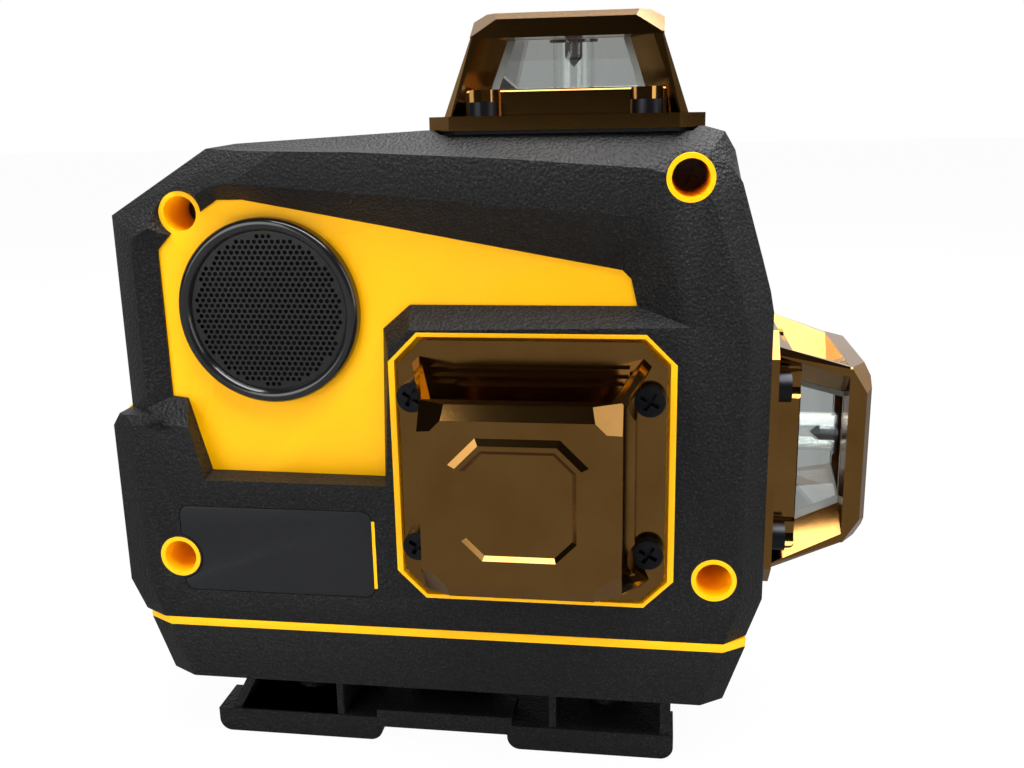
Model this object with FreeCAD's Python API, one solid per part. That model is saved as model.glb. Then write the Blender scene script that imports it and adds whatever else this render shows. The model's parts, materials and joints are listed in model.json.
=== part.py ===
import FreeCAD
import Part
import math
import os

# Self-levelling three-plane line laser, millimetres.
# +X is the front, -Y the side with the loudspeaker, +Z up.
# The origin is the tripod thread's axis at the plane that the feet stand on.

# Body
HALF_WIDTH = 29.0
REAR_X = -61.5
FRONT_X = 60.4
TOP_Z = 117.8
TRAY_BOTTOM_Z = 14.0
TRAY_TOP_Z = 24.9
SEAL_THICKNESS = 1.7
SEAL_GAP = 0.15
ARMOUR_THICKNESS = 2.5
SHELL_WALL = 2.0
PANEL_DEPTH = 5.0
PANEL_STEP = 0.6
REAR_STEP = 1.5
BLOCK_TOP_Z = 64.4
BLOCK_LEDGE_Z = 54.8
BLOCK_BEVEL_X = 5.5
BLOCK_BEVEL_Y = 3.0
SIDE_BEVEL = 4.0
REAR_BEVEL_Y = 8.0
REAR_BEVEL_X = 9.0
SHELL_BEVEL_X = 5.0
SHELL_BEVEL_Y = 6.0
TRAY_FLOOR = 2.5
TRAY_WALL = 2.5

# Emitter cages
FLANGE_HALF_U = 23.65
FLANGE_HALF_V = 23.85
FLANGE_CHAMFER = 4.35
FLANGE_THICKNESS = 2.4
GASKET_THICKNESS = 0.6
GASKET_INSET = 0.8
CAGE_BASE_HALF = 21.0
CAGE_TOP_HALF = 16.73
CAGE_CORNER = 1.3
CAGE_CORNER_TOP = 0.3
CAP_START = 13.07
CAP_SIDE = 3.1
CAP_BEVEL_HEIGHT = 1.21
CAP_BEVEL_WIDTH = 2.43
CAP_SKIN = 1.0
CAP_LIP = 1.0
CAP_CORNER_SLOPE = 1.617
CAP_CORNER_CUT = 1.8
MEDALLION_HALF = 11.5
MEDALLION_CHAMFER = 4.6
MEDALLION_BEVEL = 1.2
MEDALLION_RISE = 0.4
MEDALLION_RING = 2.0
MEDALLION_DEPTH = 0.7
WINDOW_BASE_HALF = 19.5
WINDOW_TOP_HALF = 14.9
WINDOW_INNER_LIP = 0.3
PANE_SETBACK = 5.6
PANE_THICKNESS = 1.6
BAR_HEIGHT = 4.5
BAR_OUTER = 18.6
BAR_HALF = 17.3
BAR_ROUND = 0.8
RIDGE_OUTER = (19.5, 18.2, 16.9)
APERTURE_HALF = 13.6
CAGE_SCREW_U = 20.8
CAGE_SCREW_V = 14.0
CAGE_SCREW_HEAD_R = 2.7
CAGE_SCREW_HEAD = 2.3
CAGE_SCREW_R = 1.45
CAGE_SCREW_LENGTH = 8.0
COUNTERBORE_R = 3.6
TRIM_HALF_U = 25.35
TRIM_HALF_V = 25.2
TRIM_CHAMFER = 5.3
TRIM_GAP = 0.6
POCKET_GAP = 0.3
SIDE_CENTRE = (19.0, 58.3)
TOP_CENTRE_X = 24.4
TOP_FACE_Z = 120.0
FRONT_CENTRE_Z = 58.8
FRONT_FACE_X = 61.9

# Pendulum and gimbal
PIVOT = FreeCAD.Vector(TOP_CENTRE_X, 0, 90.0)
SWING = 3.0
BARREL_R = 5.5
TUBE_R = 3.9
TUBE_WALL = 0.7
TUBE_START = 2.0
TUBE_END = 12.2
TUBE_DISC_R = 4.5
TUBE_DISC = 0.8
CONE_R = 1.65
CONE_TIP = 8.0
CONE_BASE = 9.7
EMITTER_HOLE_R = 10.0
HEAD_R = 8.5
HEAD_HALF = 4.0
NECK_R = 6.0
BLOCK_TOP = 72.0
BLOCK_BOTTOM = 46.0
BLOCK_REAR_X = 12.4
BLOCK_FRONT_X = 34.4
BLOCK_HALF_Y = 11.0
STEM_R = 4.5
NOSE_R = 4.5
NOSE_Z = 35.0
MAGNET_BOTTOM = 36.6
MAGNET_THICKNESS = 3.0
MAGNET_R = 12.0
WEIGHT_BEHIND = 2.5
WEIGHT_BESIDE = 2.3
WEIGHT_HEIGHT = 26.0
WEIGHT_HALF_Y = 9.0
RING_OUTER = 14.5
RING_INNER = 10.5
RING_HEIGHT = 6.4
BEARING_R = 2.4
BEARING_BORE = 1.05
BEARING_LENGTH = 3.0
PIN_R = 1.0
UPRIGHT_INNER = 16.0
UPRIGHT_THICKNESS = 2.0
UPRIGHT_WIDTH = 24.0
UPRIGHT_HOLE_R = 9.5
CHASSIS_PLATE_Z = 26.9
CHASSIS_PLATE = 2.0
CHASSIS_REAR_X = -4.0
CHASSIS_FRONT_X = 43.0
CHASSIS_POST_R = 3.0
CHASSIS_SCREW_R = 1.2
COPPER_Z = 33.0
COPPER_THICKNESS = 1.4
COPPER_R = 14.5
COPPER_HOLE_R = 9.0
COPPER_POST_R = 1.6

# Pendulum lock
LOCK_TRAVEL = 8.0
LOCK_LIFT = 3.0
LOCK_GAP = 0.4
LIFTER_R = 2.5
LIFTER_PAD_R = 6.0
LIFTER_REST = 0.1
LIFTER_GAP = 0.05
RAMP_GAP = 0.3
RAMP_HEIGHT = 21.5
RAMP_HALF_Y = 3.5
SLIDER_X = 6.0
SLIDER_LENGTH = 8.0
SLIDER_Z = 34.0
SLIDER_HEIGHT = 3.4
SLOT_GAP = 0.2
SLIDER_REST = 0.2
KNOB_HEIGHT = 8.0
KNOB_PROUD = 3.2

# Tubes that hold the housing screws: x, z and the face that each tube reaches
TUBE_OUTER_R = 4.0
TUBE_BORE_R = 3.15
TUBE_SEAT_Y = 12.0
TUBE_FLARE = 2.5
SCREW_R = 1.5
SCREW_HEAD_R = 2.75
SCREW_HEAD = 2.0
SCREW_LENGTH = 20.0
TOP_REAR_TUBE = (-45.2, 104.0)
BOTTOM_REAR_TUBE = (-49.1, 39.3)
TOP_FRONT_TUBE = (45.9, 109.6)
BOTTOM_FRONT_TUBE = (51.5, 39.0)

# Loudspeaker
SPEAKER_X = -29.3
SPEAKER_Z = 86.4
SPEAKER_RING_R = 17.0
SPEAKER_MESH_R = 14.65
SPEAKER_PROUD = 2.5
SPEAKER_HOLE_R = 13.0
SPEAKER_DRIVER_R = 14.0
SPEAKER_DEPTH = 11.0
SPEAKER_MAGNET_R = 8.0

# Label place
PLATE_REAR_X = -48.5
PLATE_FRONT_X = -11.0
PLATE_BOTTOM_Z = 32.6
PLATE_TOP_Z = 49.6
PLATE_THICKNESS = 0.6
PLATE_CORNER = 1.8
PLATE_TRIM = 0.6

# Battery and electronics
BATTERY_HALF_Y = 14.0
BATTERY_BOTTOM = 45.2
BATTERY_TOP = 61.2
BATTERY_END_X = -16.5
BATTERY_GAP = 0.3
BAY_WALL = 1.5
LATCH_HALF_Y = 19.0
LATCH_BOTTOM = 63.0
LATCH_TOP = 66.4
LATCH_PROUD = 2.5
LATCH_TRAVEL = 1.6
LATCH_GAP = 0.25
CONTACT_THICKNESS = 0.7
PCB_THICKNESS = 1.6
PCB_REAR_X = -48.0
PCB_FRONT_X = -8.0
PCB_BOTTOM_Z = 67.0
PCB_TOP_Z = 99.0
PCB_POST = 3.4

# Keypad on the rear top chamfer
KEYPAD_LENGTH = 15.0
KEYPAD_WIDTH = 34.0
KEYPAD_BEZEL = 1.2
KEYPAD_MAT = 0.5
KEY_PITCH = 8.0
KEY_WIDTH = 5.6
KEY_LENGTH = 8.0
KEY_PROUD = 0.8
KEY_TRAVEL = 0.6
KEY_GAP = 0.2
KEY_NAMES = ("power_key", "side_line_key", "front_line_key", "top_line_key")

# Feet and tripod thread
FOOT_REAR_X = -46.0
FOOT_FRONT_X = 45.0
FOOT_HALF_Y = 25.5
FOOT_PAD_DEPTH = 9.0
FOOT_PAD_TOP = 5.0
FOOT_PAD_ROUND = 2.5
FOOT_BAR_BOTTOM = 3.0
FOOT_BAR_TOP = 6.7
FOOT_REAR_PAD_END = -12.0
FOOT_FRONT_PAD_START = 13.0
FOOT_WEB = 1.4
FOOT_WEB_X = (-20.5, 21.9)
FOOT_END_SLOPE = 6.5
FOOT_END_WALL = 2.0
FOOT_BOSS_R = 11.0
FOOT_SCREW_X = (-30.0, 32.0)
FOOT_SCREW_Y = 12.0
INSERT_R = 6.0
THREAD_R = 2.6
INSERT_LENGTH = 11.0
BASE_SCREW_X = (-49.0, 47.6)
BASE_SCREW_Y = 19.3
BASE_BOSS_R = 3.2
BASE_BOSS_HEIGHT = 9.0

# Worked out from the sizes above
ARMOUR_BOTTOM_Z = TRAY_TOP_Z + SEAL_THICKNESS
PANEL_Y = HALF_WIDTH - PANEL_DEPTH
CAVITY_Y = PANEL_Y - SHELL_WALL
UPPER_REAR_X = REAR_X + REAR_STEP
CAP_TOP = CAP_START + CAP_SIDE + CAP_BEVEL_HEIGHT
CHAMFER_LOW = (UPPER_REAR_X, TOP_Z - 14.3)
CHAMFER_HIGH = (UPPER_REAR_X + 19.5, TOP_Z - 2.5)
BEVELLED_SIDES = (3, 4, 8, 9)


def vec(x, y, z):
    return FreeCAD.Vector(x, y, z)


def wire(points):
    return Part.makePolygon(list(points) + [points[0]])


def prism(points, direction):
    """A flat outline of 3-D points, pushed along a vector."""
    return Part.Face(wire(points)).extrude(direction)


def prism_xz(outline, y0, y1):
    return prism([vec(x, y0, z) for x, z in outline], vec(0, y1 - y0, 0))


def prism_xy(outline, z0, z1):
    return prism([vec(x, y, z0) for x, y in outline], vec(0, 0, z1 - z0))


def loft(*outlines):
    """A solid with flat or ruled sides through outlines with equal counts of points."""
    return Part.makeLoft([wire(points) for points in outlines], True, True)


def loft_xz(*sections):
    """Sections are pairs of an x, z outline and its y."""
    return loft(*[[vec(x, y, z) for x, z in outline] for outline, y in sections])


def box(x0, x1, y0, y1, z0, z1):
    return Part.makeBox(x1 - x0, y1 - y0, z1 - z0, vec(x0, y0, z0))


def cylinder(radius, start, end):
    axis = end - start
    return Part.makeCylinder(radius, axis.Length, start, axis)


def tube(outer, inner, start, end):
    return cylinder(outer, start, end).cut(cylinder(inner, start, end))


def octagon(half_u, half_v, chamfer):
    cu = half_u - chamfer
    cv = half_v - chamfer
    return [
        (half_u, -cv), (half_u, cv), (cu, half_v), (-cu, half_v),
        (-half_u, cv), (-half_u, -cv), (-cu, -half_v), (cu, -half_v),
    ]


def rounded_rectangle(x0, x1, z0, z1, radius, y0, y1):
    body = box(x0, x1, min(y0, y1), max(y0, y1), z0, z1)
    edges = [e for e in body.Edges if abs(e.tangentAt(e.FirstParameter).y) > 0.9]
    return body.makeFillet(radius, edges)


def inset(outline, distances):
    """Move each side of a clockwise outline inwards by its own distance."""
    count = len(outline)
    lines = []
    for i in range(count):
        x0, z0 = outline[i]
        x1, z1 = outline[(i + 1) % count]
        length = math.hypot(x1 - x0, z1 - z0)
        ux = (x1 - x0) / length
        uz = (z1 - z0) / length
        lines.append((x0 + uz * distances[i], z0 - ux * distances[i], ux, uz))
    moved = []
    for i in range(count):
        ax, az, aux, auz = lines[i - 1]
        bx, bz, bux, buz = lines[i]
        cross = aux * buz - auz * bux
        t = ((bx - ax) * buz - (bz - az) * bux) / cross
        moved.append((ax + aux * t, az + auz * t))
    return moved


def mirror_y(shape):
    return shape.mirror(vec(0, 0, 0), vec(0, 1, 0))


def far_half(shape):
    return shape.common(box(-200, 200, 0, 200, -50, 250))


def near_half(shape):
    return shape.common(box(-200, 200, -200, 0, -50, 250))


def place(shape, origin, u_axis, w_axis):
    """Put a shape drawn with u, v, w axes at an emitter, with w pointing out of the body."""
    v_axis = w_axis.cross(u_axis)
    matrix = FreeCAD.Matrix(
        u_axis.x, v_axis.x, w_axis.x, origin.x,
        u_axis.y, v_axis.y, w_axis.y, origin.y,
        u_axis.z, v_axis.z, w_axis.z, origin.z,
        0, 0, 0, 1)
    moved = shape.copy()
    moved.Placement = FreeCAD.Placement(matrix).multiply(shape.Placement)
    return moved


SIDES = {
    "top": (vec(TOP_CENTRE_X, 0, TOP_FACE_Z), vec(0, 1, 0), vec(0, 0, 1)),
    "side": (vec(SIDE_CENTRE[0], -HALF_WIDTH, SIDE_CENTRE[1]), vec(1, 0, 0), vec(0, -1, 0)),
    "front": (vec(FRONT_FACE_X, 0, FRONT_CENTRE_Z), vec(0, 1, 0), vec(1, 0, 0)),
}


def at(side, shape):
    return place(shape, *SIDES[side])


# Body outlines, clockwise from the bottom rear corner, seen from the near side

def upper_outlines():
    """The upper body's outline at its flank, at mid bevel and on the side face."""
    rear = UPPER_REAR_X
    front = FRONT_X
    top = TOP_Z
    low = ARMOUR_BOTTOM_Z
    half = 0.5 * REAR_BEVEL_X
    full = REAR_BEVEL_X
    side = SIDE_BEVEL
    rows = [
        ((rear + 3.0, low), (rear + 5.5, low), (rear + 10.0, low)),
        ((rear, low + 13.4), (rear + half, low + 13.4), (rear + full, low + 13.4)),
        (CHAMFER_LOW, (rear + half, top - 16.8), (rear + full, top - 19.4)),
        (CHAMFER_HIGH, (rear + 27.5, top - 2.9), (rear + 35.8, top - 3.0)),
        ((rear + 25.3, top - 1.7), (rear + 35.9, top - 2.4), (rear + 48.8, top - 3.3)),
        ((rear + 60.0, top), (rear + 66.5, top - 2.1), (rear + 74.5, top - 4.7)),
        ((front - 12.4, top), (front - 16.4, top - 3.0), (front - 21.2, top - 6.6)),
        ((front - 8.9, top - 1.0), (front - 11.0, top - 3.9), (front - 14.2, top - 8.8)),
        ((front - 7.1, top - 4.1), (front - 8.0, top - 6.6), (front - 11.4, top - 11.2)),
        ((front - 5.9, top - 9.3), (front - 5.9, top - 9.3), (front - 10.3, top - 13.3)),
        ((front - 2.2, top - 22.0), (front - 2.2, top - 22.0), (front - 6.1, top - 26.5)),
        ((front - 0.7, top - 27.4), (front - 0.7, top - 27.4), (front - 4.8, top - 31.3)),
        ((front, top - 31.1), (front, top - 31.1), (front - side, top - 35.3)),
        ((front, low + 7.4), (front, low + 7.4), (front - side, low + 8.4)),
        ((front - 2.6, low), (front - 2.6, low), (front - 6.9, low)),
    ]
    return [list(column) for column in zip(*rows)]


def block_outlines():
    """The rear lower block's outline at its flank and on the side face."""
    rear = REAR_X
    low = ARMOUR_BOTTOM_Z
    top = BLOCK_TOP_Z
    inner = rear + BLOCK_BEVEL_X
    end = rear + 21.0
    flank = [
        (rear + 2.7, low), (rear, low + 6.2), (rear, top), (rear + REAR_STEP, top + 2.4),
        (rear + REAR_STEP, top + 7.0), (end, top + 7.0), (end, low),
    ]
    face = [
        (rear + 8.0, low), (inner, low + 7.0), (inner, top), (inner, top + 2.4),
        (inner, top + 7.0), (end, top + 7.0), (end, low),
    ]
    return flank, face


def whole_outline():
    """The silhouette that the shell is drawn inside."""
    block, _ = block_outlines()
    upper, _, _ = upper_outlines()
    return block[:4] + upper[2:]


def shell_outline():
    outline = whole_outline()
    distances = [ARMOUR_THICKNESS] * len(outline)
    distances[-1] = 0.0
    return inset(outline, distances)


def wedge(start, end, depth):
    """What slopes off a half body's edge along one side of its outline."""
    along = vec(end[0] - start[0], 0, end[1] - start[1]).normalize()
    inward = vec(along.z, 0, -along.x)
    origin = vec(start[0], 0, start[1]) - along * 30
    low = depth - SHELL_BEVEL_Y
    rows = [(-20, low), (0, low), (SHELL_BEVEL_X, depth), (SHELL_BEVEL_X, depth + 5), (-20, depth + 5)]
    points = [origin + inward * n - vec(0, y, 0) for n, y in rows]
    return prism(points, along * (math.dist(start, end) + 60))


def edge_bevelled(outline, depth):
    """A half body to a depth, whose rear and front upper edges slope in over the last stretch."""
    body = prism_xz(outline, 0, -depth)
    for side in BEVELLED_SIDES:
        body = body.cut(wedge(outline[side], outline[side + 1], depth))
    return body


def panel_outlines():
    """The yellow panel's edge, and the line where its sloping surround meets the side face."""
    rear = UPPER_REAR_X
    top = TOP_Z
    ledge = BLOCK_LEDGE_Z
    block = BLOCK_TOP_Z
    ridge = SIDE_CENTRE[1] + TRIM_HALF_V
    left = SIDE_CENTRE[0] - TRIM_HALF_U
    rows = [
        ((rear + 10.1, top - 20.4), (rear - 0.5, top - 17.8)),
        ((rear + 12.9, top - 17.4), (rear + 9.5, top - 13.8)),
        ((rear + 22.2, top - 11.4), (rear + 20.5, top - 7.3)),
        ((rear + 27.1, top - 11.4), (rear + 29.0, top - 8.5)),
        ((rear + 94.7, top - 23.9), (rear + 98.4, top - 14.6)),
        ((rear + 96.2, top - 25.4), (rear + 101.0, top - 16.5)),
        ((rear + 97.3, ridge + 4.1), (rear + 106.7, ridge + 1.3)),
        ((left + 3.25, ridge + 4.1), (left + 4.05, ridge + 0.4)),
        ((left - 1.75, ridge - 0.2), (left + 0.15, ridge - 3.2)),
        ((left - 2.75, ledge + 0.3), (left - 1.45, ledge)),
        ((rear + 16.8, ledge + 0.6), (rear + 17.3, ledge + 0.1)),
        ((rear + 13.2, block + 5.1), (rear + 14.9, block + 0.8)),
        ((rear + 10.2, block + 5.5), (rear - 0.5, block + 0.8)),
    ]
    return [list(column) for column in zip(*rows)]


def dish_cutter():
    panel, rim = panel_outlines()
    step = PANEL_Y + PANEL_STEP
    straight = prism_xz(panel, -PANEL_Y + 1, -step)
    slope = loft_xz((panel, -step), (rim, -HALF_WIDTH))
    return straight.fuse(slope).fuse(prism_xz(rim, -HALF_WIDTH, -HALF_WIDTH - 4.0))


def armour_half_block():
    """One half of the body's outer form, before anything is cut into it."""
    flank, middle, face = upper_outlines()
    start = HALF_WIDTH - REAR_BEVEL_Y
    mid = HALF_WIDTH - SIDE_BEVEL
    upper = prism_xz(flank, 0, -start)
    upper = upper.fuse(loft_xz((flank, -start), (middle, -mid)))
    upper = upper.fuse(loft_xz((middle, -mid), (face, -HALF_WIDTH)))
    block_flank, block_face = block_outlines()
    edge = HALF_WIDTH - BLOCK_BEVEL_Y
    block = prism_xz(block_flank, 0, -edge)
    block = block.fuse(loft_xz((block_flank, -edge), (block_face, -HALF_WIDTH)))
    slope = [vec(-90, -HALF_WIDTH - 4, BLOCK_TOP_Z - 3.0), vec(-90, -HALF_WIDTH + 9, BLOCK_TOP_Z + 9.4),
             vec(-90, -HALF_WIDTH - 4, BLOCK_TOP_Z + 20)]
    block = block.cut(prism(slope, vec(70, 0, 0)))
    block = block.cut(box(-90, REAR_X + 22, -HALF_WIDTH - 4, -start, BLOCK_TOP_Z + 2.4, BLOCK_TOP_Z + 20))
    return upper.fuse(block).cut(dish_cutter()).removeSplitter()


def housing_tubes():
    """Centre and reach of each screw tube on the near side."""
    return [
        (TOP_REAR_TUBE, PANEL_Y), (BOTTOM_REAR_TUBE, HALF_WIDTH),
        (TOP_FRONT_TUBE, HALF_WIDTH), (BOTTOM_FRONT_TUBE, HALF_WIDTH),
    ]


def battery_hole():
    gap = BATTERY_GAP
    return box(REAR_X - 5, REAR_X + 6, -BATTERY_HALF_Y - gap, BATTERY_HALF_Y + gap,
               BATTERY_BOTTOM - gap, BATTERY_TOP + gap)


def latch_pocket():
    gap = LATCH_GAP
    floor = REAR_X + LATCH_TRAVEL + 1.3 + gap
    return box(REAR_X - 5, floor, -LATCH_HALF_Y - gap, LATCH_HALF_Y + gap,
               LATCH_BOTTOM - gap, LATCH_TOP + gap)


def keypad_frame(shape):
    """Put a shape drawn with x along the chamfer, y across it and z out of it on the chamfer."""
    ax, az = CHAMFER_LOW
    bx, bz = CHAMFER_HIGH
    length = math.hypot(bx - ax, bz - az)
    along = vec((bx - ax) / length, 0, (bz - az) / length)
    out = vec(-along.z, 0, along.x)
    centre = vec((ax + bx) / 2, 0, (az + bz) / 2)
    return place(shape, centre, along, out)


def keypad_out():
    ax, az = CHAMFER_LOW
    bx, bz = CHAMFER_HIGH
    length = math.hypot(bx - ax, bz - az)
    return vec(-(bz - az) / length, 0, (bx - ax) / length)


def keypad_pocket():
    half_l = KEYPAD_LENGTH / 2 + KEY_GAP
    half_w = KEYPAD_WIDTH / 2 + KEY_GAP
    return keypad_frame(box(-half_l, half_l, -half_w, half_w, -ARMOUR_THICKNESS, 5))


def flange_pocket(depth):
    outline = octagon(FLANGE_HALF_U + POCKET_GAP, FLANGE_HALF_V + POCKET_GAP, FLANGE_CHAMFER)
    return prism_xy(outline, -depth, 12)


def emitter_holes():
    """The round openings that the pendulum's emitters pass through."""
    hole = cylinder(EMITTER_HOLE_R, vec(0, 0, -14), vec(0, 0, 6))
    return [at(side, hole) for side in SIDES]


def lock_slot():
    gap = SLOT_GAP
    half = SLIDER_HEIGHT / 2 + gap
    return box(SLIDER_X - gap, SLIDER_X + SLIDER_LENGTH + LOCK_TRAVEL + gap, 15, 40,
               SLIDER_Z - half, SLIDER_Z + half)


def plate_shape(grow, depth):
    x0 = PLATE_REAR_X - grow
    x1 = PLATE_FRONT_X + grow
    shape = rounded_rectangle(x0, x1, PLATE_BOTTOM_Z - grow, PLATE_TOP_Z + grow,
                              PLATE_CORNER, -HALF_WIDTH + depth, -HALF_WIDTH)
    x, z = BOTTOM_REAR_TUBE
    keep = cylinder(TUBE_OUTER_R + 0.5 - grow, vec(x, -40, z), vec(x, 0, z))
    return shape.cut(keep)


def trim_strip(grow):
    x0 = PLATE_FRONT_X + grow
    return box(PLATE_FRONT_X, x0 + PLATE_TRIM, -HALF_WIDTH, -HALF_WIDTH + PLATE_THICKNESS,
               PLATE_BOTTOM_Z + PLATE_CORNER - grow, PLATE_TOP_Z - PLATE_CORNER + grow)


# Housing

def armour_cutters():
    seat = FLANGE_THICKNESS + GASKET_THICKNESS
    trim = prism_xy(octagon(TRIM_HALF_U, TRIM_HALF_V, TRIM_CHAMFER), -PANEL_DEPTH, 5)
    cutters = emitter_holes()
    cutters += [at("side", trim), at("top", flange_pocket(seat)), at("front", flange_pocket(seat))]
    cutters += [battery_hole(), latch_pocket(), keypad_pocket(), lock_slot()]
    return cutters


def cage_screw_holes(side):
    depth = CAGE_SCREW_LENGTH - CAGE_SCREW_HEAD + 0.5
    holes = []
    for u in (-CAGE_SCREW_U, CAGE_SCREW_U):
        for v in (-CAGE_SCREW_V, CAGE_SCREW_V):
            holes.append(at(side, cylinder(CAGE_SCREW_R, vec(u, v, -depth), vec(u, v, 3))))
    return holes


def shell_block():
    return edge_bevelled(shell_outline(), PANEL_Y)


def shell_cavity():
    outline = shell_outline()
    distances = [SHELL_WALL] * len(outline)
    distances[-1] = -1.0
    return edge_bevelled(inset(outline, distances), CAVITY_Y)


def make_armour():
    half = armour_half_block().cut(shell_block())
    near = half.copy()
    for (x, z), reach in housing_tubes():
        near = near.cut(cylinder(TUBE_OUTER_R, vec(x, -60, z), vec(x, 0, z)))
    x, z = TOP_REAR_TUBE
    near = near.cut(Part.makeCone(TUBE_OUTER_R, TUBE_OUTER_R + TUBE_FLARE, PANEL_DEPTH,
                                  vec(x, -PANEL_Y, z), vec(0, -1, 0)))
    near = near.cut(plate_shape(0.1, PLATE_THICKNESS)).cut(trim_strip(0.0))
    far = mirror_y(half)
    for cutter in armour_cutters() + cage_screw_holes("top") + cage_screw_holes("front"):
        near = near.cut(cutter)
        far = far.cut(cutter)
    return near, far


def side_platform():
    """The raised octagon and yellow rim that the side cage sits in."""
    seat = FLANGE_THICKNESS + GASKET_THICKNESS
    rim = prism_xy(octagon(TRIM_HALF_U, TRIM_HALF_V, TRIM_CHAMFER), -PANEL_DEPTH, 0)
    gap = TRIM_GAP
    inner = octagon(FLANGE_HALF_U + gap, FLANGE_HALF_V + gap, FLANGE_CHAMFER)
    return at("side", rim.cut(prism_xy(inner, -seat, 1)))


def shell_screw_bosses(side, start, length):
    """Bosses behind a cage, from depth start inwards, that its screws bite into."""
    bosses = []
    for u in (-CAGE_SCREW_U, CAGE_SCREW_U):
        for v in (-CAGE_SCREW_V, CAGE_SCREW_V):
            bosses.append(at(side, cylinder(2.6, vec(u, v, -start - length), vec(u, v, -start))))
    return bosses


def base_bosses():
    bosses = []
    for x in BASE_SCREW_X:
        for y in (-BASE_SCREW_Y, BASE_SCREW_Y):
            start = vec(x, y, ARMOUR_BOTTOM_Z)
            bosses.append(cylinder(BASE_BOSS_R, start, start + vec(0, 0, BASE_BOSS_HEIGHT)))
    return bosses


def base_screw_holes():
    holes = []
    for x in BASE_SCREW_X:
        for y in (-BASE_SCREW_Y, BASE_SCREW_Y):
            holes.append(cylinder(SCREW_R, vec(x, y, TRAY_BOTTOM_Z - 1),
                                  vec(x, y, ARMOUR_BOTTOM_Z + BASE_BOSS_HEIGHT - 1)))
    return holes


def pcb_posts():
    posts = []
    for x in (PCB_REAR_X + 3, PCB_FRONT_X - 3):
        for z in (PCB_BOTTOM_Z + 3, PCB_TOP_Z - 3):
            posts.append(cylinder(2.0, vec(x, CAVITY_Y - PCB_POST, z), vec(x, CAVITY_Y + 0.5, z)))
    return posts


def make_shells():
    block = shell_block()
    whole = block.fuse(mirror_y(block)).cut(shell_cavity()).cut(mirror_y(shell_cavity()))
    whole = whole.fuse(side_platform())
    additions = shell_screw_bosses("side", HALF_WIDTH - CAVITY_Y - 0.5, 4.0)
    additions += shell_screw_bosses("top", TOP_FACE_Z - TOP_Z + ARMOUR_THICKNESS + 1.0, 4.0)
    additions += shell_screw_bosses("front", FRONT_FACE_X - FRONT_X + ARMOUR_THICKNESS + 1.0, 4.0)
    additions += base_bosses() + pcb_posts()
    for (x, z), reach in housing_tubes():
        additions.append(cylinder(TUBE_OUTER_R, vec(x, -reach, z), vec(x, 0, z)))
        far = cylinder(TUBE_OUTER_R, vec(x, 0, z), vec(x, CAVITY_Y + 0.5, z))
        additions.append(far.common(mirror_y(block)))
    for piece in additions:
        whole = whole.fuse(piece)
    cutters = emitter_holes() + [battery_hole(), latch_pocket(), lock_slot()]
    for side in SIDES:
        cutters += cage_screw_holes(side)
    for (x, z), reach in housing_tubes():
        cutters.append(cylinder(TUBE_BORE_R, vec(x, -reach - 1, z), vec(x, -TUBE_SEAT_Y, z)))
        cutters.append(cylinder(SCREW_R, vec(x, -TUBE_SEAT_Y - 1, z),
                                vec(x, SCREW_LENGTH - TUBE_SEAT_Y + 0.5, z)))
    cutters += base_screw_holes()
    cutters.append(cylinder(SPEAKER_HOLE_R, vec(SPEAKER_X, -PANEL_Y - 1, SPEAKER_Z),
                            vec(SPEAKER_X, -CAVITY_Y + 1, SPEAKER_Z)))
    for cutter in cutters:
        whole = whole.cut(cutter)
    return near_half(whole), far_half(whole)


def tray_outline(inset_x, inset_y):
    rear = REAR_X + 3.6 + inset_x
    front = FRONT_X - 2.7 - inset_x
    side = HALF_WIDTH - inset_y
    shoulder = HALF_WIDTH - BLOCK_BEVEL_Y - inset_y
    return [
        (rear, -shoulder), (rear + 5.4, -side), (front - 4.2, -side), (front, -shoulder),
        (front, shoulder), (front - 4.2, side), (rear + 5.4, side), (rear, shoulder),
    ]


def make_base_seal():
    ring = prism_xy(tray_outline(0, 0), TRAY_TOP_Z, ARMOUR_BOTTOM_Z)
    ring = ring.cut(prism_xy(tray_outline(6.5, 7.5), TRAY_TOP_Z - 1, ARMOUR_BOTTOM_Z + 1))
    for x in BASE_SCREW_X:
        for y in (-BASE_SCREW_Y, BASE_SCREW_Y):
            ring = ring.cut(cylinder(BASE_BOSS_R + SEAL_GAP, vec(x, y, 0), vec(x, y, 60)))
    return ring


def chassis_post_places():
    return [(x, y) for x in (CHASSIS_REAR_X + 4, CHASSIS_FRONT_X - 4) for y in (-14.0, 14.0)]


def foot_screw_places():
    return [(x, y) for x in FOOT_SCREW_X for y in (-FOOT_SCREW_Y, FOOT_SCREW_Y)]


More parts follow.
